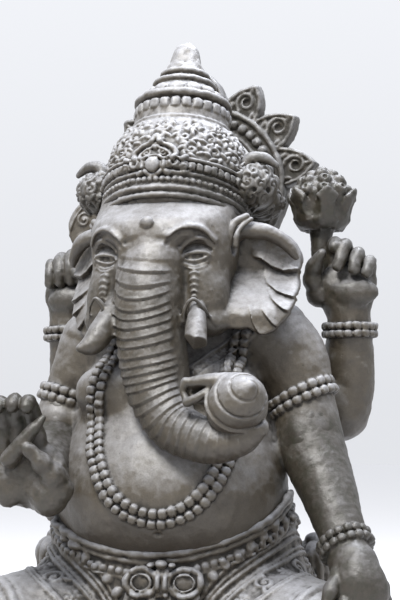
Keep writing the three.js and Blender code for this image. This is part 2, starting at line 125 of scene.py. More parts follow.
def axes_on(tangent: Array, outward: Array) -> Array:
    """Axes along a line, over the surface that it lies on and out of it, as rows.

    Args:
        tangent: The line's direction.
        outward: About the way out of the surface.

    Returns:
        The three axes.
    """
    normal = unit(outward - tangent * (outward @ tangent))
    return np.stack([tangent, np.cross(normal, tangent), normal])


def grown(values: Array, start: float, end: float) -> Array:
    """How far values have come from start to end, from 0 to 1."""
    return np.clip((values - start) / (end - start), 0, 1)


def rounded(edge: Array, face: Array, radius: float) -> Array:
    """The distance to a slab with a rounded rim, from those to its sharp edge and its faces.

    Args:
        edge: The distance to the outline of its faces.
        face: The distance to its faces.
        radius: The rim's radius.

    Returns:
        The distance.
    """
    edge, face = edge + radius, face + radius
    outside = np.sqrt(np.maximum(edge, 0) ** 2 + np.maximum(face, 0) ** 2)
    return (outside + np.minimum(np.maximum(edge, face), 0) - radius).astype(np.float32)


def mixed(at: Array, start: float, end: float, first: Array, second: Array) -> Array:
    """The first value at start, the second at end, and between them in proportion."""
    return (end - at) / (end - start) * first + (at - start) / (end - start) * second


def along(direction: Array, x: Array, y: Array, z: Array) -> Array:
    """How far places lie along a direction."""
    return x * direction[0] + y * direction[1] + z * direction[2]


def curve_through(stations: Stations, step: float, closed: bool = False) -> Array:
    """Runs a centripetal spline through stations.

    Args:
        stations: Points (x, y, z), and any further values such as a radius, which are carried along.
        step: The distance between the points that come back.
        closed: Whether the line ends where it starts.

    Returns:
        The points along the line, with as many columns as the stations.
    """
    knots = np.array(stations, dtype=float)
    if closed:
        knots = np.vstack([knots[-1:], knots, knots[:2]])
    else:
        knots = np.vstack([2 * knots[0] - knots[1], knots, 2 * knots[-1] - knots[-2]])
    line = []
    for a, b, c, d in zip(knots[:-3], knots[1:-2], knots[2:-1], knots[3:]):
        t = [0.0]
        for start, end in ((a, b), (b, c), (c, d)):
            t.append(t[-1] + max(np.linalg.norm((end - start)[:3]), 1e-6) ** 0.5)
        count = max(1, int(np.ceil(np.linalg.norm((c - b)[:3]) / step)))
        u = np.linspace(t[1], t[2], count, endpoint=False)[:, None]
        first = mixed(u, t[0], t[1], a, b)
        second = mixed(u, t[1], t[2], b, c)
        third = mixed(u, t[2], t[3], c, d)
        low, high = mixed(u, t[0], t[2], first, second), mixed(u, t[1], t[3], second, third)
        line.append(mixed(u, t[1], t[2], low, high))
    line.append(knots[1:2] if closed else knots[-2:-1])
    return np.vstack(line)


def spaced(line: Array, count: int, closed: bool = False) -> tuple[Array, Array]:
    """Spreads points evenly along a line.

    Args:
        line: The line's points.
        count: How many points to place.
        closed: Whether the line ends where it starts.

    Returns:
        The points, and the line's direction at each.
    """
    lengths = np.concatenate([[0], np.cumsum(np.linalg.norm(np.diff(line[:, :3], axis=0), axis=1))])
    share = (np.arange(count) + 0.5) / count if closed else np.linspace(0, 1, count)
    at = share * lengths[-1]
    near = lengths[-1] / count * 0.2
    points, ahead, behind = (
        np.stack([np.interp(where, lengths, line[:, i]) for i in range(3)], axis=1)
        for where in (at, at + near, at - near)
    )
    return points, unit(ahead - behind)


@dataclass
class Part:
    """One distance function with the box that its shape fills."""

    low: Array
    high: Array
    distance: Callable[[Array, Array, Array], Array]


@dataclass
class Form:
    """A shape as the parts that it is the union of."""

    parts: list[Part] = field(default_factory=list)

    def __add__(self, other: "Form") -> "Form":
        """The union of both shapes."""
        return Form(self.parts + other.parts)


def union(forms: Iterable[Form]) -> Form:
    """All the forms as one."""
    return Form([part for form in forms for part in form.parts])


def cone(start: Station, end: Station) -> Part:
    """A rounded cone between two stations (x, y, z, radius).

    Args:
        start: The first station.
        end: The second station.

    Returns:
        The cone.
    """
    a = np.array(start, dtype=np.float32)
    b = np.array(end, dtype=np.float32)
    run = (b - a)[:3]
    squared = max(float(run @ run), 1e-6)

    def distance(x: Array, y: Array, z: Array) -> Array:
        """The distance to the cone's side."""
        px, py, pz = x - a[0], y - a[1], z - a[2]
        share = np.clip(along(run, px, py, pz) / squared, 0, 1)
        radius = a[3] + share * (b[3] - a[3])
        across = (px - share * run[0]) ** 2 + (py - share * run[1]) ** 2 + (pz - share * run[2]) ** 2
        return np.sqrt(across) - radius

    widest = max(a[3], b[3])
    return Part(np.minimum(a, b)[:3] - widest, np.maximum(a, b)[:3] + widest, distance)


def limb(
    stations: Stations,
    step: float = 12.0,
    swell: PointRule | None = None,
    closed: bool = False,
) -> Form:
    """A rounded limb through stations (x, y, z, radius).

    Args:
        stations: The stations, which a spline runs through.
        step: The length of each straight stretch.
        swell: Scales the radius by the share of the length.
        closed: Whether the limb is a loop.

    Returns:
        The form.
    """
    line = curve_through(stations, step, closed)
    if swell is not None:
        line[:, 3] *= swell(np.linspace(0, 1, len(line)))
    line[:, 3] = np.maximum(line[:, 3], 0.5)
    return Form([cone(a, b) for a, b in zip(line[:-1], line[1:])])


def cord_line(points: Array, radius: float | Array) -> Form:
    """A thin roll of clay along points that are already close together."""
    radii = np.broadcast_to(np.asarray(radius, dtype=float), (len(points),))
    line = np.hstack([points, radii[:, None]])
    return Form([cone(a, b) for a, b in zip(line[:-1], line[1:])])


def ball(centre: Station, radii: Station, axes: Array | None = None, power: float = 2.0) -> Form:
    """An ellipsoid, or with a higher power a cushion with rounded sides.

    Args:
        centre: Its middle.
        radii: Its half sizes along its axes.
        axes: Its three axes as rows, or none where they are the frame's own.
        power: 2 for an ellipsoid, 4 for a cushion.

    Returns:
        The form.
    """
    middle = np.array(centre, dtype=np.float32)
    size = np.array(radii, dtype=np.float32)
    turn = np.eye(3, dtype=np.float32) if axes is None else np.array(axes, dtype=np.float32)

    def distance(x: Array, y: Array, z: Array) -> Array:
        """About the distance to the surface."""
        px, py, pz = x - middle[0], y - middle[1], z - middle[2]
        total = 0.0
        slope = 0.0
        for row, radius in zip(turn, size):
            share = np.abs(along(row, px, py, pz)) / radius
            total = total + share**power
            slope = slope + (share ** (power - 1) / radius) ** 2
        out = total ** (1 / power)
        return (out - 1) / np.maximum(np.sqrt(slope) / np.maximum(out, 1e-4) ** (power - 1), 1e-4)

    reach = np.abs(turn.T * size).sum(axis=1) if power > 2 else np.sqrt(((turn.T * size) ** 2).sum(axis=1))
    return Form([Part(middle - reach, middle + reach, distance)])


def stack(levels: Stations, power: float = 2.0) -> Form:
    """A pile of oval sections (z, half width, half depth, centre y), smooth from one to the next.

    Args:
        levels: The sections from the bottom up.
        power: How square the ovals are, from 2.

    Returns:
        The form.
    """
    heights = [level[0] for level in levels]
    fine = curve_through([(level[0], 0, 0, *level[1:]) for level in levels], 5.0)
    widest = fine[:, 3].max()

    def distance(x: Array, y: Array, z: Array) -> Array:
        """About the distance to the side or the flat ends."""
        half_width, half_depth, middle = (
            np.interp(z, fine[:, 0], fine[:, i]).astype(np.float32) for i in (3, 4, 5)
        )
        u, v = np.abs(x) / half_width, np.abs(y - middle) / half_depth
        out = (u**power + v**power) ** (1 / power)
        slope = np.sqrt((u ** (power - 1) / half_width) ** 2 + (v ** (power - 1) / half_depth) ** 2)
        side = (out - 1) * np.maximum(out, 1e-3) ** (power - 1) / np.maximum(slope, 1e-5)
        return np.maximum(side, np.maximum(heights[0] - z, z - heights[-1]))

    low = array(-widest, (fine[:, 5] - fine[:, 4]).min(), heights[0])
    high = array(widest, (fine[:, 5] + fine[:, 4]).max(), heights[-1])
    return Form([Part(low, high, distance)])


class Outline:
    """A flat closed outline as a table of distances, which a plate or a turned form reads."""

    def __init__(self, corners: Stations, pitch: float = 1.0) -> None:
        """Measures the outline on a grid.

        Args:
            corners: Its points in order.
            pitch: The table's spacing.
        """
        ring = np.array(corners, dtype=float)
        self.low = ring.min(0) - OUTLINE_MARGIN
        self.high = ring.max(0) + OUTLINE_MARGIN
        self.pitch = pitch
        u = np.arange(self.low[0], self.high[0] + pitch, pitch)[:, None]
        v = np.arange(self.low[1], self.high[1] + pitch, pitch)[None, :]
        nearest = np.full((u.size, v.size), 1e9)
        inside = np.zeros(nearest.shape, dtype=bool)
        for (ax, ay), (bx, by) in zip(ring, np.roll(ring, -1, axis=0)):
            dx, dy = bx - ax, by - ay
            share = np.clip(((u - ax) * dx + (v - ay) * dy) / max(dx * dx + dy * dy, 1e-9), 0, 1)
            nearest = np.minimum(nearest, (u - ax - share * dx) ** 2 + (v - ay - share * dy) ** 2)
            if ay != by:
                crosses = ((ay > v) != (by > v)) & (u < (bx - ax) * (v - ay) / (by - ay) + ax)
                inside ^= crosses
        self.table = (np.sqrt(nearest) * np.where(inside, -1, 1)).astype(np.float32)

    def __call__(self, u: Array, v: Array) -> Array:
        """The distance to the outline at places in its plane."""
        limit = np.array(self.table.shape) - 1.001
        i = np.clip((u - self.low[0]) / self.pitch, 0, limit[0])
        j = np.clip((v - self.low[1]) / self.pitch, 0, limit[1])
        i, j = np.broadcast_arrays(i, j)
        i0, j0 = i.astype(np.int32), j.astype(np.int32)
        fi, fj = (i - i0).astype(np.float32), (j - j0).astype(np.float32)
        t = self.table
        low = t[i0, j0] * (1 - fj) + t[i0, j0 + 1] * fj
        high = t[i0 + 1, j0] * (1 - fj) + t[i0 + 1, j0 + 1] * fj
        return low * (1 - fi) + high * fi


def beyond(point: Station, away: Station, reach: float) -> Form:
    """All that lies past a plane, near a point of it.

    Args:
        point: A point of the plane.
        away: The way past it.
        reach: How far from the point it counts.

    Returns:
        The form.
    """
    middle, normal = np.array(point, dtype=float), unit(np.array(away, dtype=float))

    def distance(x: Array, y: Array, z: Array) -> Array:
        """How far short of the plane."""
        ahead = along(normal, x - middle[0], y - middle[1], z - middle[2])
        return np.maximum(-ahead, np.abs(x - middle[0]) - reach).astype(np.float32)

    return Form([Part(middle - reach, middle + reach, distance)])


def lathe(profile: Stations, height: float = 0.0, centre: Station = (0.0, 0.0)) -> Form:
    """A form turned about an upright axis, from a closed profile of (radius, height) points.

    Args:
        profile: The profile's points in order.
        height: Where the profile's zero stands.
        centre: Where the axis stands.

    Returns:
        The form.
    """
    outline = Outline(profile)
    low, high = np.array(profile, dtype=float).min(0), np.array(profile, dtype=float).max(0)

    def distance(x: Array, y: Array, z: Array) -> Array:
        """The distance to the turned profile."""
        return outline(np.sqrt((x - centre[0]) ** 2 + (y - centre[1]) ** 2), z - height)

    reach = high[0]
    corner = array(centre[0], centre[1], height)
    return Form([Part(corner + array(-reach, -reach, low[1]), corner + array(reach, reach, high[1]),
                      distance)])


def plate(
    outline: Outline,
    centre: Station,
    across: Array,
    up: Array,
    half_thickness: float,
    rounding: float = 3.0,
) -> Form:
    """A plate with rounded edges, cut to an outline.

    Args:
        outline: The outline, in the plane of across and up.
        centre: Where the outline's zero lies.
        across: The outline's first direction.
        up: The outline's second direction.
        half_thickness: Half of the plate's thickness.
        rounding: The radius of its edges.

    Returns:
        The form.
    """
    middle = np.array(centre, dtype=float)
    normal = np.cross(across, up)

    def distance(x: Array, y: Array, z: Array) -> Array:
        """The distance to the rounded plate."""
        place = x - middle[0], y - middle[1], z - middle[2]
        u, v, w = (along(direction, *place) for direction in (across, up, normal))
        return rounded(outline(u, v), np.abs(w) - half_thickness, rounding)

    corners = [
        middle + u * across + v * up + w * normal
        for u in (outline.low[0] + OUTLINE_MARGIN, outline.high[0] - OUTLINE_MARGIN)
        for v in (outline.low[1] + OUTLINE_MARGIN, outline.high[1] - OUTLINE_MARGIN)
        for w in (-half_thickness, half_thickness)
    ]
    return Form([Part(np.min(corners, axis=0), np.max(corners, axis=0), distance)])


@dataclass
class Clay:
    """A block of space that holds, at each point of a grid, the distance to the modelled surface."""

    low: Station
    high: Station
    pitch: float
    distance: Array = field(init=False)
    axes: list[Array] = field(init=False)

    def __post_init__(self) -> None:
        """Lays out the grid, empty."""
        counts = [int(math.ceil((b - a) / self.pitch)) + 1 for a, b in zip(self.low, self.high)]
        self.axes = [(a + self.pitch * np.arange(n)).astype(np.float32) for a, n in zip(self.low, counts)]
        self.distance = np.full(counts, FAR, dtype=np.float32)

    def _range(self, low: Array, high: Array) -> list[tuple[int, int]]:
        """The grid's first and last index along each axis for a box."""
        spans = []
        for i, axis in enumerate(self.axes):
            first = int(np.clip(math.floor((low[i] - self.low[i]) / self.pitch), 0, len(axis)))
            last = int(np.clip(math.ceil((high[i] - self.low[i]) / self.pitch) + 1, 0, len(axis)))
            spans.append((first, last))
        return spans

    def _measure(self, form: Form, margin: float) -> tuple[tuple[slice, ...], Array] | None:
        """The distance to a form, on the window of the grid that it reaches."""
        lows = np.array([part.low for part in form.parts]) - margin
        highs = np.array([part.high for part in form.parts]) + margin
        spans = self._range(lows.min(0), highs.max(0))
        if any(first >= last for first, last in spans):
            return None
        own = np.full([last - first for first, last in spans], FAR, dtype=np.float32)
        for part, low, high in zip(form.parts, lows, highs):
            inner = self._range(low, high)
            if any(first >= last for first, last in inner):
                continue
            x, y, z = (
                axis[first:last].reshape([-1 if i == j else 1 for j in range(3)])
                for i, (axis, (first, last)) in enumerate(zip(self.axes, inner))
            )
            place = tuple(slice(f - s[0], l - s[0]) for (f, l), s in zip(inner, spans))
            own[place] = np.minimum(own[place], part.distance(x, y, z))
        return tuple(slice(first, last) for first, last in spans), own

    def add(self, form: Form, blend: float = 4.0) -> None:
        """Joins a form on, with a fillet of about the blend's width."""
        self._merge(form, blend, 1)

    def cut(self, form: Form, blend: float = 3.0) -> None:
        """Takes a form away, with softened edges."""
        self._merge(form, blend, -1)

    def _merge(self, form: Form, blend: float, sign: int) -> None:
        """Joins a form to the clay, or for a sign of −1 to the space around it.

        Args:
            form: The form.
            blend: The fillet's width.
            sign: 1 to join it, −1 to take it away.
        """
        margin = blend + 2 * self.pitch
        measured = self._measure(form, margin)
        if measured is None:
            return
        window, own = measured
        there = sign * self.distance[window]
        joined = np.minimum(there, own)
        if blend > 0:
            overlap = np.maximum(blend - np.abs(there - own), 0) / blend
            joined = joined - np.where(own < margin, overlap * overlap * blend / 4, 0)
        self.distance[window] = sign * joined

    def read(self, points: Array) -> Array:
        """The distance at any points, between the grid's own."""
        where = (points - np.array(self.low)) / self.pitch
        limit = np.array(self.distance.shape) - 1.001
        where = np.clip(where, 0, limit)
        base = where.astype(int)
        share = where - base
        total = np.zeros(len(points))
        for corner in np.ndindex(2, 2, 2):
            weight = np.prod(np.where(np.array(corner) == 1, share, 1 - share), axis=1)
            i, j, k = (base + np.array(corner)).T
            total += weight * self.distance[i, j, k]
        return total

    def land(self, starts: Array, directions: Array, reach: float = 420.0) -> Array:
        """Where straight lines from outside first meet the surface."""
        directions = unit(directions)
        travelled = np.zeros(len(starts))
        for _ in range(LANDING_STEPS):
            depth = self.read(starts + travelled[:, None] * directions)
            travelled = np.where(travelled < reach, travelled + np.clip(depth, 0, self.pitch * 1.5),
                                 travelled)
        return starts + travelled[:, None] * directions

    def normals(self, points: Array) -> Array:
        """The outward direction of the surface at points."""
        steps = np.eye(3) * self.pitch
        return unit(np.stack([self.read(points + s) - self.read(points - s) for s in steps], axis=1))

    def weathered(self, *layers: Station) -> "Clay":
        """Makes the surface a little uneven, as cement from a hand-made mould is.

        Args:
            *layers: For each layer which random numbers to take, the unevenness's height and its length.

        Returns:
            The clay itself.
        """
        for seed, amount, grain in layers:
            counts = [int(math.ceil(n * self.pitch / grain)) + 2 for n in self.distance.shape]
            lattice = np.random.default_rng(SEED + seed).standard_normal(counts).astype(np.float32) * amount
            for i, n in enumerate(self.distance.shape):
                at = np.arange(n) * self.pitch / grain
                base = at.astype(int)
                share = (at - base).astype(np.float32)
                share = share * share * (3 - 2 * share)
                shape = [-1 if i == j else 1 for j in range(3)]
                low, high = np.take(lattice, base, axis=i), np.take(lattice, base + 1, axis=i)
                lattice = low + (high - low) * share.reshape(shape)
            self.distance += lattice
        return self

    def skin(self) -> tuple[Array, Array]:
        """The surface as quads, one point in each grid cell that it passes through.

        Returns:
            The points, in millimetres, and the quads' corners.
        """
        for axis in range(3):
            for end in (0, -1):
                face = [slice(None)] * 3
                face[axis] = end
                self.distance[tuple(face)] = np.maximum(self.distance[tuple(face)], self.pitch / 2)
        inside = self.distance < 0
        shape = np.array(inside.shape) - 1
        count = np.zeros(shape, dtype=np.int8)
        corners = list(np.ndindex(2, 2, 2))
        for i, j, k in corners:
            count += inside[i : shape[0] + i, j : shape[1] + j, k : shape[2] + k]
        cells = np.argwhere((count > 0) & (count < 8))
        values = np.stack([self.distance[tuple((cells + c).T)] for c in corners], axis=1)
        total = np.zeros((len(cells), 3))
        crossings = np.zeros(len(cells))
        for a, first in enumerate(corners):
            for b, second in enumerate(corners):
                step = np.array(second) - np.array(first)
                if step.min() < 0 or step.sum() != 1:
                    continue
                va, vb = values[:, a], values[:, b]
                crossed = (va < 0) != (vb < 0)
                share = np.where(crossed, va / np.where(crossed, va - vb, 1), 0)
                total += crossed[:, None] * (np.array(first) + share[:, None] * step)
                crossings += crossed
        points = (cells + total / crossings[:, None]) * self.pitch + np.array(self.low)
        number = np.full(shape, -1, dtype=np.int32)
        number[tuple(cells.T)] = np.arange(len(cells))
        quads = []
        for axis in range(3):
            near = [slice(1, -1)] * 3
            near[axis] = slice(0, -1)
            far = list(near)
            far[axis] = slice(1, None)
            here, there = inside[tuple(near)], inside[tuple(far)]
            edges = np.argwhere(here != there)
            going_out = here[tuple(edges.T)]
            at = edges + 1
            at[:, axis] -= 1
            u, v = (np.eye(3, dtype=int)[i] for i in ((axis + 1) % 3, (axis + 2) % 3))
            ring = np.stack([number[tuple((at - s).T)] for s in (u * 0, u, u + v, v)], axis=1)
            quads.append(np.where(going_out[:, None], ring, ring[:, ::-1]))
        return points, np.vstack(quads)


def main_bodies(points: Array, quads: Array) -> tuple[Array, Array]:
    """Keeps a skin's main surfaces and drops crumbs.

    Args:
        points: The skin's points.
        quads: Its quads' corners.

    Returns:
        The points and quads that stay.
    """
    start = np.concatenate([quads[:, i] for i in range(4)])
    end = np.concatenate([quads[:, (i + 1) % 4] for i in range(4)])
    label = np.arange(len(points))
    while True:
        lower = np.minimum(label[start], label[end])
        new = label.copy()
        np.minimum.at(new, label[start], lower)
        np.minimum.at(new, label[end], lower)
        for _ in range(3):
            new = new[new]
        if np.array_equal(new, label):
            break
        label = new
    names, sizes = np.unique(label, return_counts=True)
    kept_points = np.isin(label, names[sizes > CRUMB_SHARE * len(points)])
    kept = quads[kept_points[quads[:, 0]]]
    number = np.cumsum(kept_points) - 1
    return points[kept_points], number[kept]


def smoothed(values: Array, start: Array, end: Array, rounds: int) -> Array:
    """Averages values over the neighbours along a mesh's edges, several times.

    Args:
        values: A row for each point.
        start: The first point of each edge.
        end: The second point of each edge.
        rounds: How often to average.

    Returns:
        The averaged values.
    """
    count = len(values)
    degree = np.bincount(start, minlength=count) + np.bincount(end, minlength=count)
    degree = np.maximum(degree, 1)
    result = values.copy()
    for _ in range(rounds):
        for i in range(result.shape[1]):
            column = result[:, i]
            total = np.bincount(start, column[end], count) + np.bincount(end, column[start], count)
            result[:, i] = 0.5 * column + 0.5 * total / degree
    return result


@dataclass
class Casting:
    """Turns modelled clay into a finished piece that rides on the part."""

    cement: bpy.types.Material

    def cast(
        self,
        name: str,
        clay: Clay,
        triangles: int,
        place: Matrix | None = None,
        moss: PointRule | None = None,
        bend: PointRule | None = None,
    ) -> bpy.types.Object:
        """Skins the clay, thins the skin and dresses it.

        Args:
            name: The piece's name.
            clay: The modelled block.
            triangles: The most triangles that the piece may have.
            place: Turns the clay's own frame into the figure's frame, in millimetres.
            moss: How mossy each point is, in the clay's own frame.
            bend: Moves the skin's points, in the clay's own frame.

        Returns:
            The finished piece.
        """
        points, quads = main_bodies(*clay.skin())
        points = bend(points) if bend else points
        mesh = bpy.data.meshes.new(name)
        mesh.vertices.add(len(points))
        mesh.vertices.foreach_set("co", points.astype(np.float32).ravel())
        mesh.loops.add(quads.size)
        mesh.loops.foreach_set("vertex_index", quads.astype(np.int32).ravel())
        mesh.polygons.add(len(quads))
        mesh.polygons.foreach_set("loop_start", np.arange(0, quads.size, 4, dtype=np.int32))
        mesh.update(calc_edges=True)
        piece = add_object(name, mesh)
        full = 2 * len(quads)
        if full > triangles:
            thin = piece.modifiers.new("thin", "DECIMATE")
            thin.ratio = triangles / full
            graph = bpy.context.evaluated_depsgraph_get()
            thinned = bpy.data.meshes.new_from_object(piece.evaluated_get(graph))
            piece.modifiers.clear()
            piece.data = thinned
            bpy.data.meshes.remove(mesh)
            mesh = thinned
            mesh.name = name
        self._shade(mesh, moss)
        matrix = Matrix.Translation((0, FIGURE_BACK * MM, 0)) @ Matrix.Scale(MM, 4)
        mesh.transform(matrix @ (place or Matrix.Identity(4)))
        mesh.shade_smooth()
        mesh.materials.clear()
        mesh.materials.append(self.cement)
        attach(piece, "root")
        LOG.info("%s: %d triangles of %d skinned", name, sum(len(p.vertices) - 2 for p in mesh.polygons),
                 full)
        return piece

    def _shade(self, mesh: bpy.types.Mesh, moss: PointRule | None) -> None:
        """Writes how deep each point lies in a hollow, how proud it is, and how mossy."""
        count = len(mesh.vertices)
        points, normals = np.empty((2, count * 3))
        mesh.vertices.foreach_get("co", points)
        mesh.vertices.foreach_get("normal", normals)
        points, normals = points.reshape(-1, 3), normals.reshape(-1, 3)
        edges = np.empty(len(mesh.edges) * 2, dtype=np.int32)
        mesh.edges.foreach_get("vertices", edges)
        start, end = edges.reshape(-1, 2).T
        near = smoothed(points, start, end, 5)
        wide = smoothed(near, start, end, 30)
        fine = np.sum((near - points) * normals, axis=1)
        broad = np.sum((wide - points) * normals, axis=1)
        # hollow darkens the cement with grime and painted shade; worn lightens proud edges
        hollow = grown(fine, 0, FINE_RELIEF) * 0.5 + grown(broad, 0, BROAD_RELIEF) * 0.7
        worn = grown(-fine, 0, FINE_RELIEF) * 0.6 + grown(-broad, 0, BROAD_RELIEF) * 0.4
        layers = {
            Shade.HOLLOW: np.clip(hollow, 0, 1),
            Shade.WORN: np.clip(worn, 0, 1),
            Shade.MOSS: np.zeros(count) if moss is None else np.clip(moss(points), 0, 1),
        }
        for shade, values in layers.items():
            layer = mesh.attributes.new(shade.value, "FLOAT", "POINT")
            layer.data.foreach_set("value", values.astype(np.float32))


def drape(
    clay: Clay,
    stations: Stations,
    outward: Array | None,
    step: float = 4.0,
    aside: float = 0.0,
    lift: float = 0.0,
    closed: bool = False,
    height: float = 70.0,
) -> Array:
    """Lays a line on the clay.

    Args:
        clay: The block that it lies on.
        stations: Points near the surface, which a spline runs through.
        outward: The way from which the line comes down, or None for away from the upright axis.
        step: The distance between points.
        aside: How far the line is moved sideways over the surface.
        lift: How far it stands off.
        closed: Whether it is a loop.
        height: How far above its stations the line starts to come down.

    Returns:
        The points on the surface.
    """
    line = curve_through(stations, step, closed)[:, :3]
    away = unit(line * array(1, 1, 0)) if outward is None else np.broadcast_to(unit(outward), line.shape)
    side = unit(np.cross(np.gradient(line, axis=0), away))
    landed = clay.land(line + aside * side + height * away, -away, 2 * height + 60)
    return landed + lift * away


@dataclass
class Patch:
    """A place on the clay where relief is laid, seen straight on."""

    clay: Clay
    centre: Array
    across: Array
    up: Array
    height: float = 50.0

    @property
    def normal(self) -> Array:
        """The way that the patch faces."""
        return np.cross(self.across, self.up)

    def onto(self, flat: Array, lift: float = 0.0) -> Array:
        """Brings points of the patch's plane down to the clay."""
        flat = np.atleast_2d(flat)
        starts = self.centre + flat[:, :1] * self.across + flat[:, 1:2] * self.up + self.height * self.normal
        landed = self.clay.land(starts, np.broadcast_to(-self.normal, starts.shape), 2.4 * self.height)
        return landed + lift * self.normal

    def line(self, flat: Array, radius: float | Array, lift: float = 0.0) -> Form:
        """A thin roll along a line of the plane."""
        return cord_line(self.onto(flat, lift), radius)

    def leaf(self, u: float, v: float, angle: float, length: float, width: float,
             height: float = 4.0) -> Form:
        """A swelling leaf whose length lies at an angle, in degrees, from across."""
        turn = math.radians(angle)
        lengthwise = math.cos(turn) * self.across + math.sin(turn) * self.up
        centre = self.onto(array(u, v))[0]
        normal = unit(self.clay.normals(centre[None, :]))[0]
        lengthwise = unit(lengthwise - normal * (lengthwise @ normal))
        axes = np.stack([lengthwise, np.cross(normal, lengthwise), normal])
        return ball(centre, (length / 2, width / 2, height), axes)

    def rosette(self, u: float, v: float, size: float, petals: int = 6) -> Form:
        """A round flower of leaves with a boss in its middle."""
        forms = [self.leaf(u, v, 0, size * 0.7, size * 0.7, size * 0.34)]
        for i in range(petals):
            angle = 360 * i / petals
            reach = size * 0.62
            du, dv = reach * math.cos(math.radians(angle)), reach * math.sin(math.radians(angle))
            forms.append(self.leaf(u + du, v + dv, angle, size * 0.72, size * 0.56, size * 0.2))
        return union(forms)

    def scroll(
        self, u: float, v: float, size: float, angle: float, turns: float, hand: int, roll: float = 3.0
    ) -> Form:
        """A spiral that winds in from its rim.

        Args:
            u: Its middle, across.
            v: Its middle, up.
            size: Its outer radius.
            angle: Where it starts, in degrees.
            turns: How often it goes round.
            hand: 1 to wind one way, −1 the other.
            roll: The radius of the roll of clay.

        Returns:
            The form.
        """
        share = np.linspace(0, 1, max(8, int(size * turns * 1.2)))
        sweep = math.radians(angle) + hand * turns * TURN * share
        radius = size * (1 - 0.82 * share)
        flat = np.stack([u + radius * np.cos(sweep), v + radius * np.sin(sweep)], axis=1)
        thickness = roll * (1 - 0.25 * share)
        return self.line(flat, thickness) + self.leaf(u, v, 0, size * 0.36, size * 0.36, roll * 1.5)


def beads(line: Array, count: int, size: Station, normals: Array, closed: bool = False,
          power: float = 3.0) -> Form:
    """A row of cushion-shaped beads along a line.

    Args:
        line: The line's points.
        count: How many beads.
        size: A bead's half sizes along the line, across it and out.
        normals: The outward direction for each bead.
        closed: Whether the line is a loop.
        power: How square the beads are.

    Returns:
        The form.
    """
    points, tangents = spaced(line, count, closed)
    return union(ball(centre, size, axes_on(tangent, normal), power)
                 for centre, tangent, normal in zip(points, tangents, normals))


def ring_line(centre: Array, axis: Array, radius: float, step: float = 4.0) -> tuple[Array, Array]:
    """A circle round an axis.

    Args:
        centre: Its middle.
        axis: The direction that it goes round.
        radius: Its radius.
        step: The distance between points.

    Returns:
        The points, and the direction away from the axis at each.
    """
    axis = unit(axis)
    first = unit(np.cross(axis, UP if abs(axis[2]) < 0.9 else BACK))
    second = np.cross(axis, first)
    angle = np.linspace(0, TURN, int(TURN * radius / step) + 1)[:, None]
    away = np.cos(angle) * first + np.sin(angle) * second
    return centre + radius * away, away


def bangle(centre: Station, axis: Station, radius: float, rows: int = 2, bead: float = 8.0) -> Form:
    """A bangle of beaded rows round a limb, on a plain core.

    Args:
        centre: Its middle.
        axis: The limb's direction.
        radius: The limb's radius there.
        rows: How many rows of beads.
        bead: A bead's half length.

    Returns:
        The form.
    """
    middle, way = np.array(centre, dtype=float), unit(np.array(axis, dtype=float))
    forms = []
    for row in range(rows):
        place = middle + way * bead * 1.9 * (row - (rows - 1) / 2)
        line, _ = ring_line(place, way, radius)
        forms.append(cord_line(line, bead * 0.8))
        outer, _ = ring_line(place, way, radius + bead * 0.55)
        count = int(TURN * (radius + bead) / (bead * 2.15))
        points, _ = spaced(outer, count, closed=True)
        forms.append(beads(outer, count, (bead, bead * 0.92, bead * 0.9), points - place, closed=True))
    return union(forms)


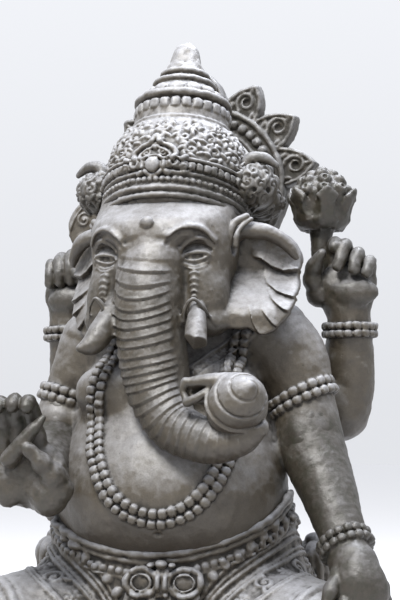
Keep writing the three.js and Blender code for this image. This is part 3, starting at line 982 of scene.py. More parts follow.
@dataclass
class Seat:
    """The low base, the folded legs and the sarong with its bands, belt and bow."""

    base_half_width: float = 418.0
    base_half_depth: float = 318.0
    base_centre_y: float = -85.0
    squareness: float = 2.7
    belt_beads: int = 84
    hips: tuple = (
        (70, 230, 185, 15), (150, 268, 195, 12), (250, 286, 192, 10), (340, 276, 184, 8), (410, 248, 178, 2),
        (476, 236, 186, -10), (512, 230, 180, -12),
    )
    thigh: tuple = ((110, -10, 240, 140), (215, -90, 242, 132), (306, -160, 234, 112), (344, -212, 206, 87))
    shin: tuple = ((344, -214, 200, 84), (285, -282, 162, 70), (200, -328, 146, 58), (110, -350, 134, 50),
                   (36, -366, 124, 38))

    def model(self) -> Clay:
        """Models the seat."""
        clay = Clay((-446, -428, -8), (452, 252, 536), 2.4)
        self._base(clay)
        clay.add(stack(self.hips), 10)
        for side in Side:
            self._leg(clay, side.value)
        self._pleats(clay)
        for side in Side:
            self._bands(clay, side.value)
        self._belt(clay)
        self._bow(clay)
        self._side_knots(clay)
        clay.weathered((0, 0.7, 16), (1, 0.35, 6))
        clay.distance = np.maximum(clay.distance, -clay.axes[2][None, None, :])
        return clay

    def _base(self, clay: Clay) -> None:
        """The slab with its sunk band."""
        profile = ((0, 1.0), (24, 1.0), (30, 0.985), (36, 0.96), (52, 0.96), (58, 0.975), (64, 0.99),
                   (84, 0.98))
        levels = [
            (z, self.base_half_width * s, self.base_half_depth * s, self.base_centre_y) for z, s in profile
        ]
        clay.add(stack(levels, self.squareness), 0)

    def _leg(self, clay: Clay, side: int) -> None:
        """A folded leg: thigh, shin, foot and toes, with the sarong's hem rolled round the knee."""
        clay.add(limb(flipped(self.thigh, side)), 22)
        clay.add(limb(flipped(self.shin, side)), 18)
        for i in range(5):
            z, size = 162 - 17 * i, 15 - 1.3 * i
            toe = ((62, -372, z - 6, size), (36, -384, z - 8, size * 0.95),
                   (22 + 2 * i, -388, z - 9, size * 0.8))
            clay.add(limb(flipped(toe, side), 6), 3)
        centre, axis = array(side * 296, -152, 236), array(side * 0.8, -0.58, -0.12)
        for offset, radius, roll in ((-16, 114, 7), (0, 113, 11), (17, 109, 7)):
            line, _ = ring_line(centre + unit(axis) * offset, axis, radius)
            clay.add(cord_line(line, roll), 3)

    def _pleats(self, clay: Clay) -> None:
        """The sarong's end, which hangs in pleats between the shins."""
        for i in range(-4, 5):
            x = 8 + 15 * i
            near = 8 * (i % 2)
            fold = ((x, -176 - near, 330, 9), (x * 1.25, -236 - near, 215, 12),
                    (x * 1.5, -272 - near, 92, 13))
            clay.add(limb(fold, 10), 4)

    def _bands(self, clay: Clay, side: int) -> None:
        """The patterned bands that cross the lap from the hip to the middle."""
        stations = flipped(
            ((262, 10, 432), (217, -96, 408), (166, -134, 369), (113, -157, 323), (70, -180, 262)), side)
        outward = array(side * 0.35, -0.6, 0.72)

        def laid(aside: float) -> Array:
            """A line along the band, moved sideways."""
            return drape(clay, stations, outward, aside=side * aside)

        rolls = ((26, 4.2), (15, 3.2), (6, 4.6), (-8, 3.2), (-16, 4.6), (-60, 3.6), (-66, 3.6))
        forms = [cord_line(laid(aside), roll) for aside, roll in rolls]
        forms += [ball(point, (10.5, 13, 7), axes_on(tangent, outward))
                  for point, tangent in zip(*spaced(laid(34), 13))]
        for i, (point, tangent) in enumerate(zip(*spaced(laid(-38), 8))):
            patch = Patch(clay, point, *axes_on(tangent, outward)[:2])
            if i % 2:
                forms.append(patch.rosette(0, 0, 16, 6))
            else:
                forms.append(patch.scroll(0, 0, 18, 60 * i, 1.3, side, 4.6))
                forms.append(patch.leaf(16, 14, 40, 19, 10, 6))
        clay.add(union(forms), 2.5)

    def _hip_loop(self, front: float, side: float, back: float) -> list[Station]:
        """A belt's path round the hips, which dips to the front."""
        points = []
        for i in range(24):
            angle = TURN * i / 24
            ahead, behind = max(0.0, -math.sin(angle)), max(0.0, math.sin(angle))
            z = side + (front - side) * ahead**1.3 + (back - side) * behind
            points.append((240 * math.cos(angle), 180 * math.sin(angle), z + 12 * math.cos(angle)))
        return points

    def _belt(self, clay: Clay) -> None:
        """The two rolls of the waist, and under them the belt's beads and cord."""
        waist = drape(clay, self._hip_loop(406, 512, 500), None, closed=True, lift=3)
        band = drape(clay, self._hip_loop(392, 496, 486), None, closed=True, lift=1)
        low = drape(clay, self._hip_loop(370, 472, 468), None, closed=True)
        turn = np.linspace(0, TURN, len(waist))
        clay.add(cord_line(waist, 8 + 0.8 * np.sin(turn * 17) + 0.5 * np.sin(turn * 41)), 3)
        turn = np.linspace(0, TURN, len(band))
        clay.add(cord_line(band, 6 + 0.7 * np.sin(turn * 23)), 3)
        points, _ = spaced(low, self.belt_beads, closed=True)
        clay.add(beads(low, self.belt_beads, (6.5, 6.5, 5), unit(points * array(1, 1, 0)), closed=True), 2)
        clay.add(cord_line(low - array(0, 0, 10), 3), 2)
        for x, z, size in ((12, 390, 12), (-8, 388, 7), (32, 388, 7)):
            clay.add(ball((x, -190, z), (size, 12, size * 0.7)), 2)

    def _bow(self, clay: Clay) -> None:
        """The belt's bow: two oval loops and the strap that ties them."""
        front = array(1, 0, 0), UP
        patch = Patch(clay, array(14, -175, 356), *front)
        clay.add(patch.leaf(0, -2, 0, 150, 54, 12), 5)
        for side in (-1, 1):
            angle = np.linspace(0, TURN, 40)
            for size, roll in ((1.0, 6.0), (0.62, 2.4)):
                flat = np.stack([side * 40 + 30 * size * np.cos(angle), 24 * size * np.sin(angle)], axis=1)
                clay.add(patch.line(flat, roll, 4), 2)
        for x in (-7, 0, 7):
            clay.add(patch.line(np.stack([np.full(12, x), np.linspace(-22, 22, 12)], axis=1), 5, 5), 1.5)

    def _side_knots(self, clay: Clay) -> None:
        """The gathered cloth behind each hip."""
        for side in Side:
            x = side.value * 268
            clay.add(ball((x, 98, 376), (46, 44, 36)), 8)
            for i in range(7):
                turn = math.radians(-70 + 28 * i)
                far_x, far_y = x + side.value * 26 * math.cos(turn), 98 - 52 * math.sin(turn)
                fold = ((x, 98, 402, 10), (far_x, far_y, 392, 12), (far_x * 1.02, far_y * 1.05, 340, 9))
                clay.add(limb(fold, 6), 3)
            clay.add(ball((x, 94, 412), (20, 20, 14)), 3)


@dataclass
class Body:
    """The belly and chest with the upper arms, necklaces and sash."""

    trunk_levels: tuple = (
        (385, 186, 150, -6), (430, 216, 186, -14), (480, 227, 200, -22), (530, 227, 204, -22),
        (585, 216, 192, -14), (645, 200, 168, 2), (700, 190, 148, 14), (760, 190, 134, 26),
        (815, 176, 116, 36), (865, 130, 98, 34), (920, 94, 84, 16),
    )
    left_arm: tuple = ((192, 8, 806, 86), (230, 0, 765, 76), (256, -10, 693, 62), (274, -32, 606, 64))
    right_arm: tuple = ((-166, 36, 800, 80), (-186, 30, 760, 70), (-226, 12, 692, 48), (-234, -8, 650, 50))

    def model(self) -> Clay:
        """Models the body."""
        clay = Clay((-300, -262, 352), (350, 178, 960), 2.6)
        clay.add(stack(self.trunk_levels), 0)
        for side in (-1, 1):
            clay.add(ball((side * 96, -82, 706), (84, 58, 60)), 26)
        clay.add(limb(self.left_arm), 24)
        clay.add(limb(self.right_arm), 24)
        clay.cut(ball((10, -216, 446), (9, 12, 6)), 5)
        clay.add(ball((10, -206, 454), (11, 5, 3)), 4)
        for side in (-1, 1):
            clay.add(ball((side * 118, -136, 690), (7, 5, 7)), 3)
        forms = [self._necklace(clay, 0), self._necklace(clay, -19)]
        clay.add(union(forms), 1.5)
        self._sash(clay)
        clay.add(bangle((255, -9, 694), (0.42, -0.1, -0.9), 60, 2, 9.5), 2)
        clay.add(bangle((-226, 12, 694), (0.3, 0.15, 0.94), 46, 2, 9.5), 2)
        return clay.weathered((2, 0.8, 24), (3, 0.3, 7))

    def _necklace(self, clay: Clay, aside: float) -> Form:
        """A strand of squarish beads, from both shoulders to a round bottom low on the belly."""
        path = [(x, -120.0, z) for x, z in (
            (-92, 850), (-113, 786), (-130, 735), (-138, 690), (-137, 642), (-130, 600), (-114, 558),
            (-92, 517), (-62, 488), (-28, 471), (11, 465), (48, 472), (82, 491), (113, 526), (134, 568),
            (145, 615), (148, 680), (143, 742), (148, 790), (156, 830), (150, 862))]
        line = drape(clay, path, array(0, -1, 0), aside=aside, lift=4, height=150)
        length = np.linalg.norm(np.diff(line, axis=0), axis=1).sum()
        number = int(length / 17.6)
        points, _ = spaced(line, number)
        return beads(line, number, (8.4, 9.2, 8), clay.normals(points), power=3.2)

    def _sash(self, clay: Clay) -> None:
        """The pleated cloth that crosses the chest from the left shoulder, edged with small flowers."""
        path = [(168, -60, 852), (160, -80, 824), (128, -110, 798), (98, -130, 773), (58, -150, 742),
                (10, -160, 700)]
        outward = array(0.1, -1, 0.1)
        edge = drape(clay, path, outward, height=150)
        forms = [cord_line(drape(clay, path, outward, aside=a, height=150), 3.6) for a in (-12, 12)]
        for point, tangent in zip(*spaced(edge, 12)):
            patch = Patch(clay, point, tangent, np.cross(unit(outward), tangent))
            forms.append(patch.rosette(0, 0, 11, 5))
        for i in range(18):
            x = 18 + 6.6 * i
            top = np.interp(x, (10, 58, 98, 128, 160), (700, 742, 773, 798, 824)) - 16
            pleat = [(x, -140, top), (x - 1, -140, top - 18), (x + 1, -140, top - 36 + 2 * (i % 2))]
            forms.append(cord_line(drape(clay, pleat, outward, height=150), 3.0))
        clay.add(union(forms), 2)


def finger(stations: Stations) -> Form:
    """A finger with swollen joints."""
    line = curve_through(stations, 4.0)
    share = np.linspace(0, 1, len(line))
    line[:, 3] *= 1 + 0.07 * np.cos(share * 3 * TURN)
    return Form([cone(a, b) for a, b in zip(line[:-1], line[1:])])


@dataclass
class LeftHand:
    """The lowered left forearm, with its bracelet and a fist on the knee."""

    forearm: tuple = ((268, -22, 640, 62), (274, -32, 606, 64), (312, -88, 515, 53), (344, -146, 432, 42),
                      (354, -164, 404, 40))

    def model(self) -> Clay:
        """Models the forearm and hand."""
        clay = Clay((196, -292, 258), (442, 50, 700), 2.3)
        clay.add(limb(self.forearm), 0)
        clay.add(ball((370, -188, 374), (44, 42, 60)), 22)
        clay.add(ball((378, -206, 352), (48, 34, 54)), 16)
        for i in range(4):
            x, y = 350 + i * 21, -222 + i * 14
            clay.add(finger(((x - 2, y + 8, 356, 15), (x + 1, y - 6, 332, 16), (x + 6, y - 24, 306, 14),
                             (x + 8, y - 30, 272, 11))), 3)
        clay.add(finger(((348, -176, 400, 15), (340, -198, 384, 16), (326, -228, 356, 14),
                         (316, -242, 320, 11))), 4)
        clay.add(bangle((346, -148, 427), (0.4, -0.56, -0.8), 41, 2, 8.5), 2)
        return clay.weathered((4, 0.8, 20), (5, 0.3, 6))


@dataclass
class RightHand:
    """The raised right forearm with its palm out, which holds a piece of tusk."""

    forearm: tuple = ((-233, -2, 662, 48), (-234, -8, 622, 52), (-236, -90, 576, 54), (-228, -165, 552, 48),
                      (-224, -205, 548, 44))

    def model(self) -> Clay:
        """Models the forearm and hand."""
        clay = Clay((-352, -330, 474), (-128, 70, 730), 2.0)
        clay.add(limb(self.forearm), 0)
        clay.add(ball((-226, -230, 556), (70, 34, 64)), 16)
        clay.add(ball((-186, -244, 528), (40, 32, 50)), 12)
        clay.add(ball((-262, -250, 534), (28, 20, 40)), 12)
        for i, drop in enumerate((2, 0, 4, 16)):
            x, top = -219 - 27 * i, 704 - drop
            clay.add(finger(((x + 14 - 4 * i, -232, 580, 22), (x + 6 - 2 * i, -240, 618, 19),
                             (x + 1, -250, top - 40, 17), (x, -268, top - 14, 15),
                             (x, -280, top - 24, 12))), 4)
        clay.add(limb(((-252, -274, 584, 17), (-226, -282, 614, 15), (-204, -280, 640, 11),
                       (-190, -274, 658, 7)), 6), 2)
        clay.add(finger(((-170, -240, 528, 26), (-176, -262, 556, 22), (-196, -282, 584, 16),
                         (-212, -290, 602, 12))), 5)
        return clay.weathered((6, 0.9, 15), (7, 0.4, 5))


@dataclass
class BackArm:
    """A back arm: out from the shoulder blade, then up from the elbow to a bangle and a fist."""

    side: Side
    x: float
    y: float
    fingers: tuple
    pad: tuple

    def model(self) -> Clay:
        """Models the arm and fist."""
        x, y, sign = self.x, self.y, self.side.value

        def at(*stations: Station) -> list[Station]:
            """Stations given from the wrist, outwards and back, brought to this arm."""
            return [(sign * (x + s[0]), y + s[1], *s[2:]) for s in stations]

        low, high = sorted((sign * 60, sign * (x + 88)))
        clay = Clay((low, y - 130, 596), (high, y + 100, 1036), 2.2)
        clay.add(limb(at((100 - x, 80 - y, 800, 78), (-120, 10, 724, 66), (-14, 30, 668, 56))), 0)
        clay.add(limb(at((-14, 30, 664, 55), (2, 28, 720, 54), (4, 18, 780, 51), (8, 4, 836, 45),
                         (6, 0, 872, 43))), 16)
        clay.add(ball((sign * x, y - 2, 916), (62, 36, 58)), 16)
        clay.add(ball((sign * (x + self.pad[0]), y - 34, self.pad[1]), (46, 20, 28)), 10)
        for stations in self.fingers:
            clay.add(finger(at(*stations)), 2.5)
        clay.add(bangle((sign * (x + 8), y + 4, 832), (0, 0, 1), 46, 2, 8.5), 2)
        return clay.weathered((8 + sign, 0.8, 18), (10 + sign, 0.35, 6))


STEM_GRIP = (
    ((-24, 8, 946, 18), (-25, 0, 985, 16), (-18, -26, 1008, 15), (-17, -40, 1000, 13)),
    ((-3, 8, 946, 17), (2, -2, 985, 16), (2, -28, 1004, 14.5), (-6, -48, 978, 13), (-11, -50, 960, 12)),
    ((22, 6, 940, 17), (27, -2, 972, 15), (28, -28, 986, 14), (23, -47, 966, 13), (21, -50, 952, 12)),
    ((46, 4, 930, 16), (50, -4, 960, 14), (52, -27, 970, 13), (48, -44, 954, 12), (46, -46, 946, 11)),
    ((-54, -6, 905, 24), (-66, -24, 944, 18), (-54, -40, 972, 14), (-45, -46, 986, 9)),
)
SHAFT_GRIP = (
    ((-26, 10, 930, 17), (-26, 4, 972, 16), (-28, -22, 994, 15), (-30, -48, 966, 14), (-31, -46, 942, 12)),
    ((-2, 10, 932, 17), (-2, 4, 976, 16), (-4, -22, 1000, 15), (-6, -50, 972, 14), (-7, -46, 944, 12)),
    ((22, 10, 930, 17), (22, 4, 972, 16), (20, -22, 994, 15), (18, -48, 966, 14), (17, -44, 942, 12)),
    ((44, 8, 924, 15), (45, 2, 962, 14), (43, -20, 982, 13), (41, -42, 958, 12), (40, -40, 938, 11)),
    ((-46, 0, 896, 20), (-60, -24, 930, 17), (-48, -50, 952, 14), (-22, -60, 958, 11)),
)


@dataclass
class Lotus:
    """The lotus in the left back hand: cupped petals round a studded seed head, on a stem."""

    x: float = 284.0
    y: float = 130.0
    z: float = 1040.0

    def model(self) -> Clay:
        """Models the flower."""
        clay = Clay((188, 34, 900), (380, 226, 1180), 2.0)
        middle = array(self.x, self.y, self.z)
        clay.add(lathe(((0, -6), (26, 0), (46, 22), (54, 50), (55, 74), (50, 92), (36, 108), (16, 117),
                        (0, 118)),
                       self.z, (self.x, self.y)), 0)
        clay.add(limb(((282, 112, 915, 20), (282, 120, 985, 20), (283, 130, 1050, 26)), 10), 8)
        petals = ((6, 53, 38, 42, 0.36), (6, 51, 36, 40, 0.12))
        for row, (count, reach, height, length, lean) in enumerate(petals):
            for out in around(count, 0.5 * row - 0.25):
                rise = unit(UP + lean * out)
                across = np.cross(rise, out)
                centre = middle + (reach - 6 * row) * out + array(0, 0, height)
                turned = np.stack([rise, across, np.cross(rise, across)])
                clay.add(ball(centre, (length, 31 - 3 * row, 11), turned), 1)
                clay.add(ball(centre + rise * length * 0.84 + out * 3, (13, 10, 6), turned), 6)
                clay.cut(ball(centre + out * 18 + rise * 4, (length * 0.66, 19, 9), turned), 7)
        for ring, (count, reach, height) in enumerate(((9, 50, 80), (7, 39, 99), (4, 20, 113), (1, 0, 120))):
            for out in around(count, 0.5 * ring):
                stud = middle + reach * out + array(0, 0, height)
                clay.add(ball(stud, (14.5, 14.5, 13), None, 2.4), 1)
                clay.cut(ball(stud + unit(reach / 26 * out + UP) * 14, (4.6, 4.6, 4.6)), 1)
        return clay.weathered((12, 0.7, 12), (13, 0.35, 5))


@dataclass
class Axe:
    """The axe in the right back hand, its curved edge out to the side."""

    def model(self) -> Clay:
        """Models the blade, socket and shaft."""
        clay = Clay((-284, 108, 880), (-92, 206, 1150), 2.0)
        edge = [(-176, 1130)]
        edge += [tuple(p) for p in pulled_curve((-176, 1130), (-244, 1132), (-262, 1070))]
        edge += [tuple(p) for p in pulled_curve((-262, 1070), (-264, 1034), (-240, 1008))]
        edge += [tuple(p) for p in pulled_curve((-240, 1008), (-224, 1050), (-176, 1078))]
        across, up = array(1, 0, 0), UP
        clay.add(plate(Outline(edge), (0, 157, 0), across, up, 15, 6), 0)
        clay.add(limb(((-246, 160, 915, 16), (-228, 159, 1020, 16), (-212, 158, 1114, 15)), 10), 4)
        clay.add(limb(((-226, 158, 1030, 22), (-110, 130, 980, 30)), 10), 6)
        patch = Patch(clay, array(-214, 157, 1080), across, up)
        clay.add(patch.scroll(-12, -6, 17, 40, 1.3, 1, 3.2), 2)
        clay.add(cord_line(patch.onto(np.array(pulled_curve((-40, -62), (-58, 0), (18, 46)))), 3), 2)
        return clay.weathered((14, 0.7, 14))


def pulled_curve(start: Station, pull: Station, end: Station, count: int = 10) -> Array:
    """A quadratic curve in a plane, from one point to another.

    Args:
        start: Where it starts.
        pull: The point that it bends towards.
        end: Where it ends.
        count: How many stretches it has.

    Returns:
        Its points, without the first.
    """
    t = np.linspace(0, 1, count + 1)[1:, None]
    a, b, c = (np.array(p, dtype=float) for p in (start, pull, end))
    return (1 - t) ** 2 * a + 2 * t * (1 - t) * b + t * t * c


@dataclass
class Face:
    """The elephant's head in its own frame: brow, eyes, cheeks, ears, trunk, tusks and the shell."""

    skull: tuple = (
        (800, 62, 50, -92), (826, 104, 78, -88), (870, 122, 98, -80), (920, 135, 113, -70),
        (965, 144, 128, -60), (1005, 147, 139, -52), (1030, 146, 133, -48), (1050, 145, 118, -40),
        (1072, 142, 104, -32), (1100, 136, 100, -28),
    )
    trunk_path: tuple = (
        (12, -122, 1000, 42), (11, -144, 960, 54), (5, -158, 896, 61), (8, -158, 820, 64),
        (17, -160, 746, 63), (34, -172, 690, 55), (66, -192, 644, 47), (110, -208, 624, 43),
        (156, -222, 613, 37), (200, -228, 620, 30), (232, -228, 642, 22),
    )
    fold_length: float = 20.0
    fold_height: float = 5.6

    def model(self) -> Clay:
        """Models the head."""
        clay = Clay((-262, -330, 560), (296, 130, 1112), 1.7)
        clay.add(stack(self.skull, 2.1), 0)
        for side in (-1, 1):
            self._eye(clay, side)
        for side in (-1, 1):
            self._ear(clay, side)
        self._tusks(clay)
        self._trunk(clay)
        self._shell(clay)
        clay.add(ball((8, -187, 1022), (13, 8, 12.5)), 1.5)
        return clay.weathered((16, 0.6, 22), (17, 0.3, 6))

    def _eye(self, clay: Clay, side: int) -> None:
        """The socket under an overhanging brow, the eye between its lids, the bag and the cheek."""
        clay.add(ball((side * 98, -104, 880), (44, 48, 62)), 26)
        clay.cut(ball((side * 100, -196, 966), (48, 66, 38)), 14)
        clay.cut(ball((side * 74, -188, 912), (15, 38, 60)), 14)
        brow = flipped(
            ((44, -192, 984), (60, -188, 1001), (84, -180, 1013), (106, -160, 1010), (124, -134, 990)), side)
        outward = array(side * 0.4, -1, 0)
        line = drape(clay, brow, outward)
        swell = np.sin(np.linspace(0.25, math.pi - 0.35, len(line)))
        clay.add(cord_line(line, 2 + 4.2 * swell), 12)
        under = curve_through(brow, 4)[:, :3] + array(-side * 2, 4, -11)
        clay.cut(cord_line(under, 2 + 6.5 * np.sin(np.linspace(0.3, math.pi - 0.3, len(under)))), 2.5)
        clay.add(ball((side * 90, -128, 960), (29, 18, 20)), 5)
        across, up = unit(array(0.9, side * 0.44, 0)) * 0.86, array(0, 0, 0.9)
        patch = Patch(clay, array(side * 90, -142, 960), across, up)

        def arc(inner: float, outer: float, foot: float, rise: float, power: float = 1.0) -> Array:
            """An arched line on the patch, from the eye's inner to its outer side."""
            u = np.linspace(inner, outer, 26)
            share = np.clip(1 - ((2 * u - inner - outer) / (outer - inner)) ** 2, 0, 1) ** power
            return np.stack([side * u, foot + rise * share + 0.1 * u], axis=1)

        clay.add(patch.line(arc(-36, 40, 17, 21), 4.6), 4)
        clay.cut(patch.line(arc(-31, 34, 11, 14), 3.0), 2)
        clay.cut(patch.leaf(side * 2, -1, 0, 27, 19, 6), 0.8)
        clay.add(ball(patch.onto(array(side * 4, 0))[0] + array(0, 5, 0), (7, 6, 6.5)), 0.8)
        lids = patch.line(arc(-30, 29, 0, 9, 0.7), 3.8) + patch.line(arc(-29, 28, 0, -9, 0.8), 2.5)
        clay.add(lids, 1.2)
        for foot, roll in ((-14, 2.4), (-20, 2.0)):
            clay.add(patch.line(arc(-22, 24, foot, -7), roll), 2.5)
        for i, v in enumerate((-36, -50, -63, -75, -86)):
            wide = 7.5 - 0.7 * i
            clay.add(patch.line(arc(-6 - wide, -6 + wide, v, 3), 2.2), 2.5)

    def _ear(self, clay: Clay, side: int) -> None:
        """An ear: a fan whose top curls forward over a deep hollow, and whose edge falls in scallops."""
        reach = side * (1.0 if side > 0 else 0.88)
        corners = [(112, 1012), (150, 1028), (196, 1028), (228, 1014), (246, 992), (255, 968), (254, 946),
                   (248, 935), (250, 912), (245, 888), (240, 871), (234, 856), (226, 844), (214, 827),
                   (198, 815), (181, 813), (162, 825), (137, 824), (112, 842), (104, 940)]
        ring = curve_through([(x, z, 0) for x, z in corners], 6, closed=True)[:-1, :2]
        outline = Outline(ring, 1.5)

        laps = (((166, 971), (187, 965), (207, 950), (227, 942), (258, 947), 18),
                ((189, 941), (195, 918), (214, 900), (230, 892), (250, 886), 16),
                ((196, 905), (204, 884), (214, 872), (226, 862), (242, 855), 15),
                ((184, 868), (190, 856), (200, 843), (207, 835), (222, 822), 13),
                ((160, 872), (167, 856), (170, 838), (176, 826), (186, 812), 10))

        def fan(x: Array, y: Array, z: Array) -> Array:
            """The curved fan, whose laps overlap like petals and whose foot stands before the shoulder."""
            drop = grown(z, 950, 845)
            forward = 84 * drop * drop * (3 - 2 * drop)
            flat_x = (x - 0.25 * forward) / reach
            out = np.clip((flat_x - 110) / 145, -0.2, 1.1)
            middle = -26 + 62 * out - 12 * np.sin(np.clip(out, 0, 1) * math.pi) - forward
            for *edge, height in laps:
                across, level = zip(*edge)
                above = z - np.interp(flat_x, across, level)
                share = grown(flat_x, across[0], across[0] + 26)
                middle = middle - height * share * np.where(above > 0, np.exp(-above / 19),
                                                            np.clip(1 + above / 5.5, 0, 1))
            return rounded(outline(flat_x, z) * 0.9, np.abs(y - middle) * 0.8 - 10, 4)

        low = array(min(100 * reach, 262 * reach) - 4, -176, 796)
        high = array(max(100 * reach, 262 * reach) + 26, 70, 1064)
        clay.add(Form([Part(low, high, fan)]), 6)

        def curl(*stations: Station) -> Form:
            """A limb on this side's ear."""
            return limb(flipped(stations, reach), 6)

        clay.add(curl((116, -42, 1002, 14), (148, -46, 1017, 17), (184, -42, 1018, 16), (216, -30, 1007, 15),
                      (239, -14, 987, 12), (250, -4, 968, 7)), 8)
        clay.cut(curl((140, -70, 984, 14), (176, -64, 988, 17), (206, -52, 982, 17), (232, -34, 966, 9)), 5)
        clay.add(curl((168, -64, 1044, 7), (148, -78, 1029, 8), (140, -86, 1010, 8), (137, -82, 990, 7)), 3)
        clay.add(curl((176, -62, 1038, 5), (160, -76, 1022, 5), (153, -83, 1005, 5), (150, -80, 986, 5)), 2)

    def _tusks(self, clay: Clay) -> None:
        """The whole right tusk, and the left one broken off short, each in a fold of lip."""
        clay.add(limb(((-66, -140, 878, 21), (-80, -182, 824, 24), (-94, -204, 794, 20),
                       (-112, -220, 787, 7)), 5), 5)
        clay.add(limb(((90, -124, 880, 12), (101, -168, 852, 16), (111, -204, 810, 21),
                       (116, -220, 788, 21)), 5), 3)
        for point, away in (((120, -228, 800), (0.35, -0.55, -0.76)), ((104, -226, 806), (-0.5, -0.7, -0.5)),
                            ((126, -212, 786), (0.2, 0.1, -1.0)), ((96, -212, 800), (-0.75, -0.2, -0.6))):
            clay.cut(beyond(point, away, 46), 1.5)
        for side, lift in ((1, 0), (-1, 6)):
            lip = [(side * x, y, z + lift) for x, y, z in
                   ((76, -168, 838), (82, -178, 862), (97, -180, 877), (112, -168, 864), (121, -152, 846),
                    (126, -140, 832))]
            line = curve_through(lip, 4)
            share = np.linspace(0, 1, len(line))
            clay.add(ball((side * 106, -112, 836 + lift), (38, 40, 26)), 18)
            clay.cut(cord_line(line + array(side * 3, -2, -8), 5.5 - 2.5 * share), 4)
            clay.add(cord_line(line, 5.0 - 3.4 * share), 5)

    def _trunk(self, clay: Clay) -> None:
        """The trunk, with folds across its front like overlapping plates."""
        clay.add(limb(self.trunk_path, 8), 10)
        clay.cut(cord_line(curve_through(((-36, -190, 986), (8, -204, 995), (50, -190, 986)), 4), 5), 8)
        clay.add(ball((12, -162, 956), (53, 40, 34)), 6)
        line = curve_through(self.trunk_path, 4.0)
        lengths = np.concatenate([[0], np.cumsum(np.linalg.norm(np.diff(line[:, :3], axis=0), axis=1))])
        tangent = unit(np.gradient(line[:, :3], axis=0))
        cells = np.argwhere(np.abs(clay.distance) < 9)
        points = cells * clay.pitch + np.array(clay.low)
        close = points[:, 1] < -120
        cells, points = cells[close], points[close]
        nearest, which = np.full(len(points), 1e9), np.zeros(len(points), dtype=int)
        for i, station in enumerate(line):
            gap = np.linalg.norm(points - station[:3], axis=1) - station[3]
            which = np.where(gap < nearest, i, which)
            nearest = np.minimum(nearest, gap)
        away = points - line[which, :3]
        heading = tangent[which]
        place = lengths[which] + np.sum(away * heading, axis=1)
        front = unit(array(-0.1, -1, 0.25) - heading * (heading @ array(-0.1, -1, 0.25))[:, None])
        side = np.cross(heading, front)
        angle = np.degrees(np.arctan2(-np.sum(away * side, axis=1), np.sum(away * front, axis=1)))
        rng = np.random.default_rng(SEED + 30)
        count = int(lengths[-1] / self.fold_length)
        edges = 30 + np.cumsum(self.fold_length * rng.uniform(0.72, 1.2, count))
        sag = (1 - np.cos(np.radians(angle))) * line[which, 3] * 0.42
        wobble = 1.6 * np.sin(np.radians(angle) * 2.3 + place / 31)
        fold = np.interp(place + sag + wobble, edges, np.arange(count), left=-1, right=count)
        share = fold - np.floor(fold)
        rise = 0.15 + 0.55 * np.sin(share * 1.5) + 0.2 * np.exp(-(((share - 0.74) / 0.12) ** 2))
        rise = np.where(share > 0.72, rise * (1 - share) / 0.28, rise)
        strength = np.interp(place, [44, 58, 74, 84, 430, lengths[-1] - 40], [0, 0.3, 0.35, 1, 0.75, 0.3])
        strength *= grown(angle, 66, 52) * grown(angle, -100, -80)
        strength *= grown(nearest, 12, 8) * (fold >= 0) * (fold < count - 1)
        clay.distance[tuple(cells.T)] -= (self.fold_height * strength * rise).astype(np.float32)

    def _shell(self, clay: Clay) -> None:
        """The conch held in the trunk's tip: whorls wound to a broken point, and a flared lip."""
        middle, point = array(199, -238, 683), array(238, -292, 716)
        axis = unit(point - middle)
        first = unit(np.cross(axis, UP))
        second = np.cross(axis, first)
        clay.add(limb([(*(middle + axis * at), radius) for at, radius in
                       ((-34, 40), (-6, 55), (18, 48), (38, 35), (54, 23), (68, 12))], 4), 3)
        share = np.linspace(0, 1, 200)
        sweep = TURN * 3.3 * share + 2.4
        reach = -22 + 90 * share
        radius = np.interp(reach, (-34, -6, 18, 38, 54, 68), (52, 57, 49, 37, 26, 13))
        outward = np.cos(sweep)[:, None] * first + np.sin(sweep)[:, None] * second
        spiral = middle + np.outer(reach, axis) + radius[:, None] * outward
        clay.cut(cord_line(spiral + axis * 7, 2.8 * (1 - 0.4 * share)), 4)
        clay.add(cord_line(spiral, 2.6 * (1 - 0.35 * share)), 4)
        clay.cut(beyond(point + array(4, -6, -4), (0.2, -0.9, 0.35), 30), 2)
        clay.add(limb(((206, -232, 712, 26), (164, -236, 722, 18), (126, -238, 723, 12),
                       (104, -238, 722, 9)), 5), 6)
        clay.add(ball((128, -228, 704), (30, 12, 22)), 4)
        clay.cut(ball((128, -250, 706), (20, 20, 9), np.stack([
            unit(array(1, 0, 0.25)), BACK, unit(array(-0.25, 0, 1))])), 3)
        clay.add(limb(((156, -242, 712, 8), (134, -250, 697, 8), (110, -250, 686, 8)), 5), 3)
        clay.add(limb(((103, -240, 724, 8), (99, -242, 706, 6), (108, -248, 688, 7)), 5), 3)


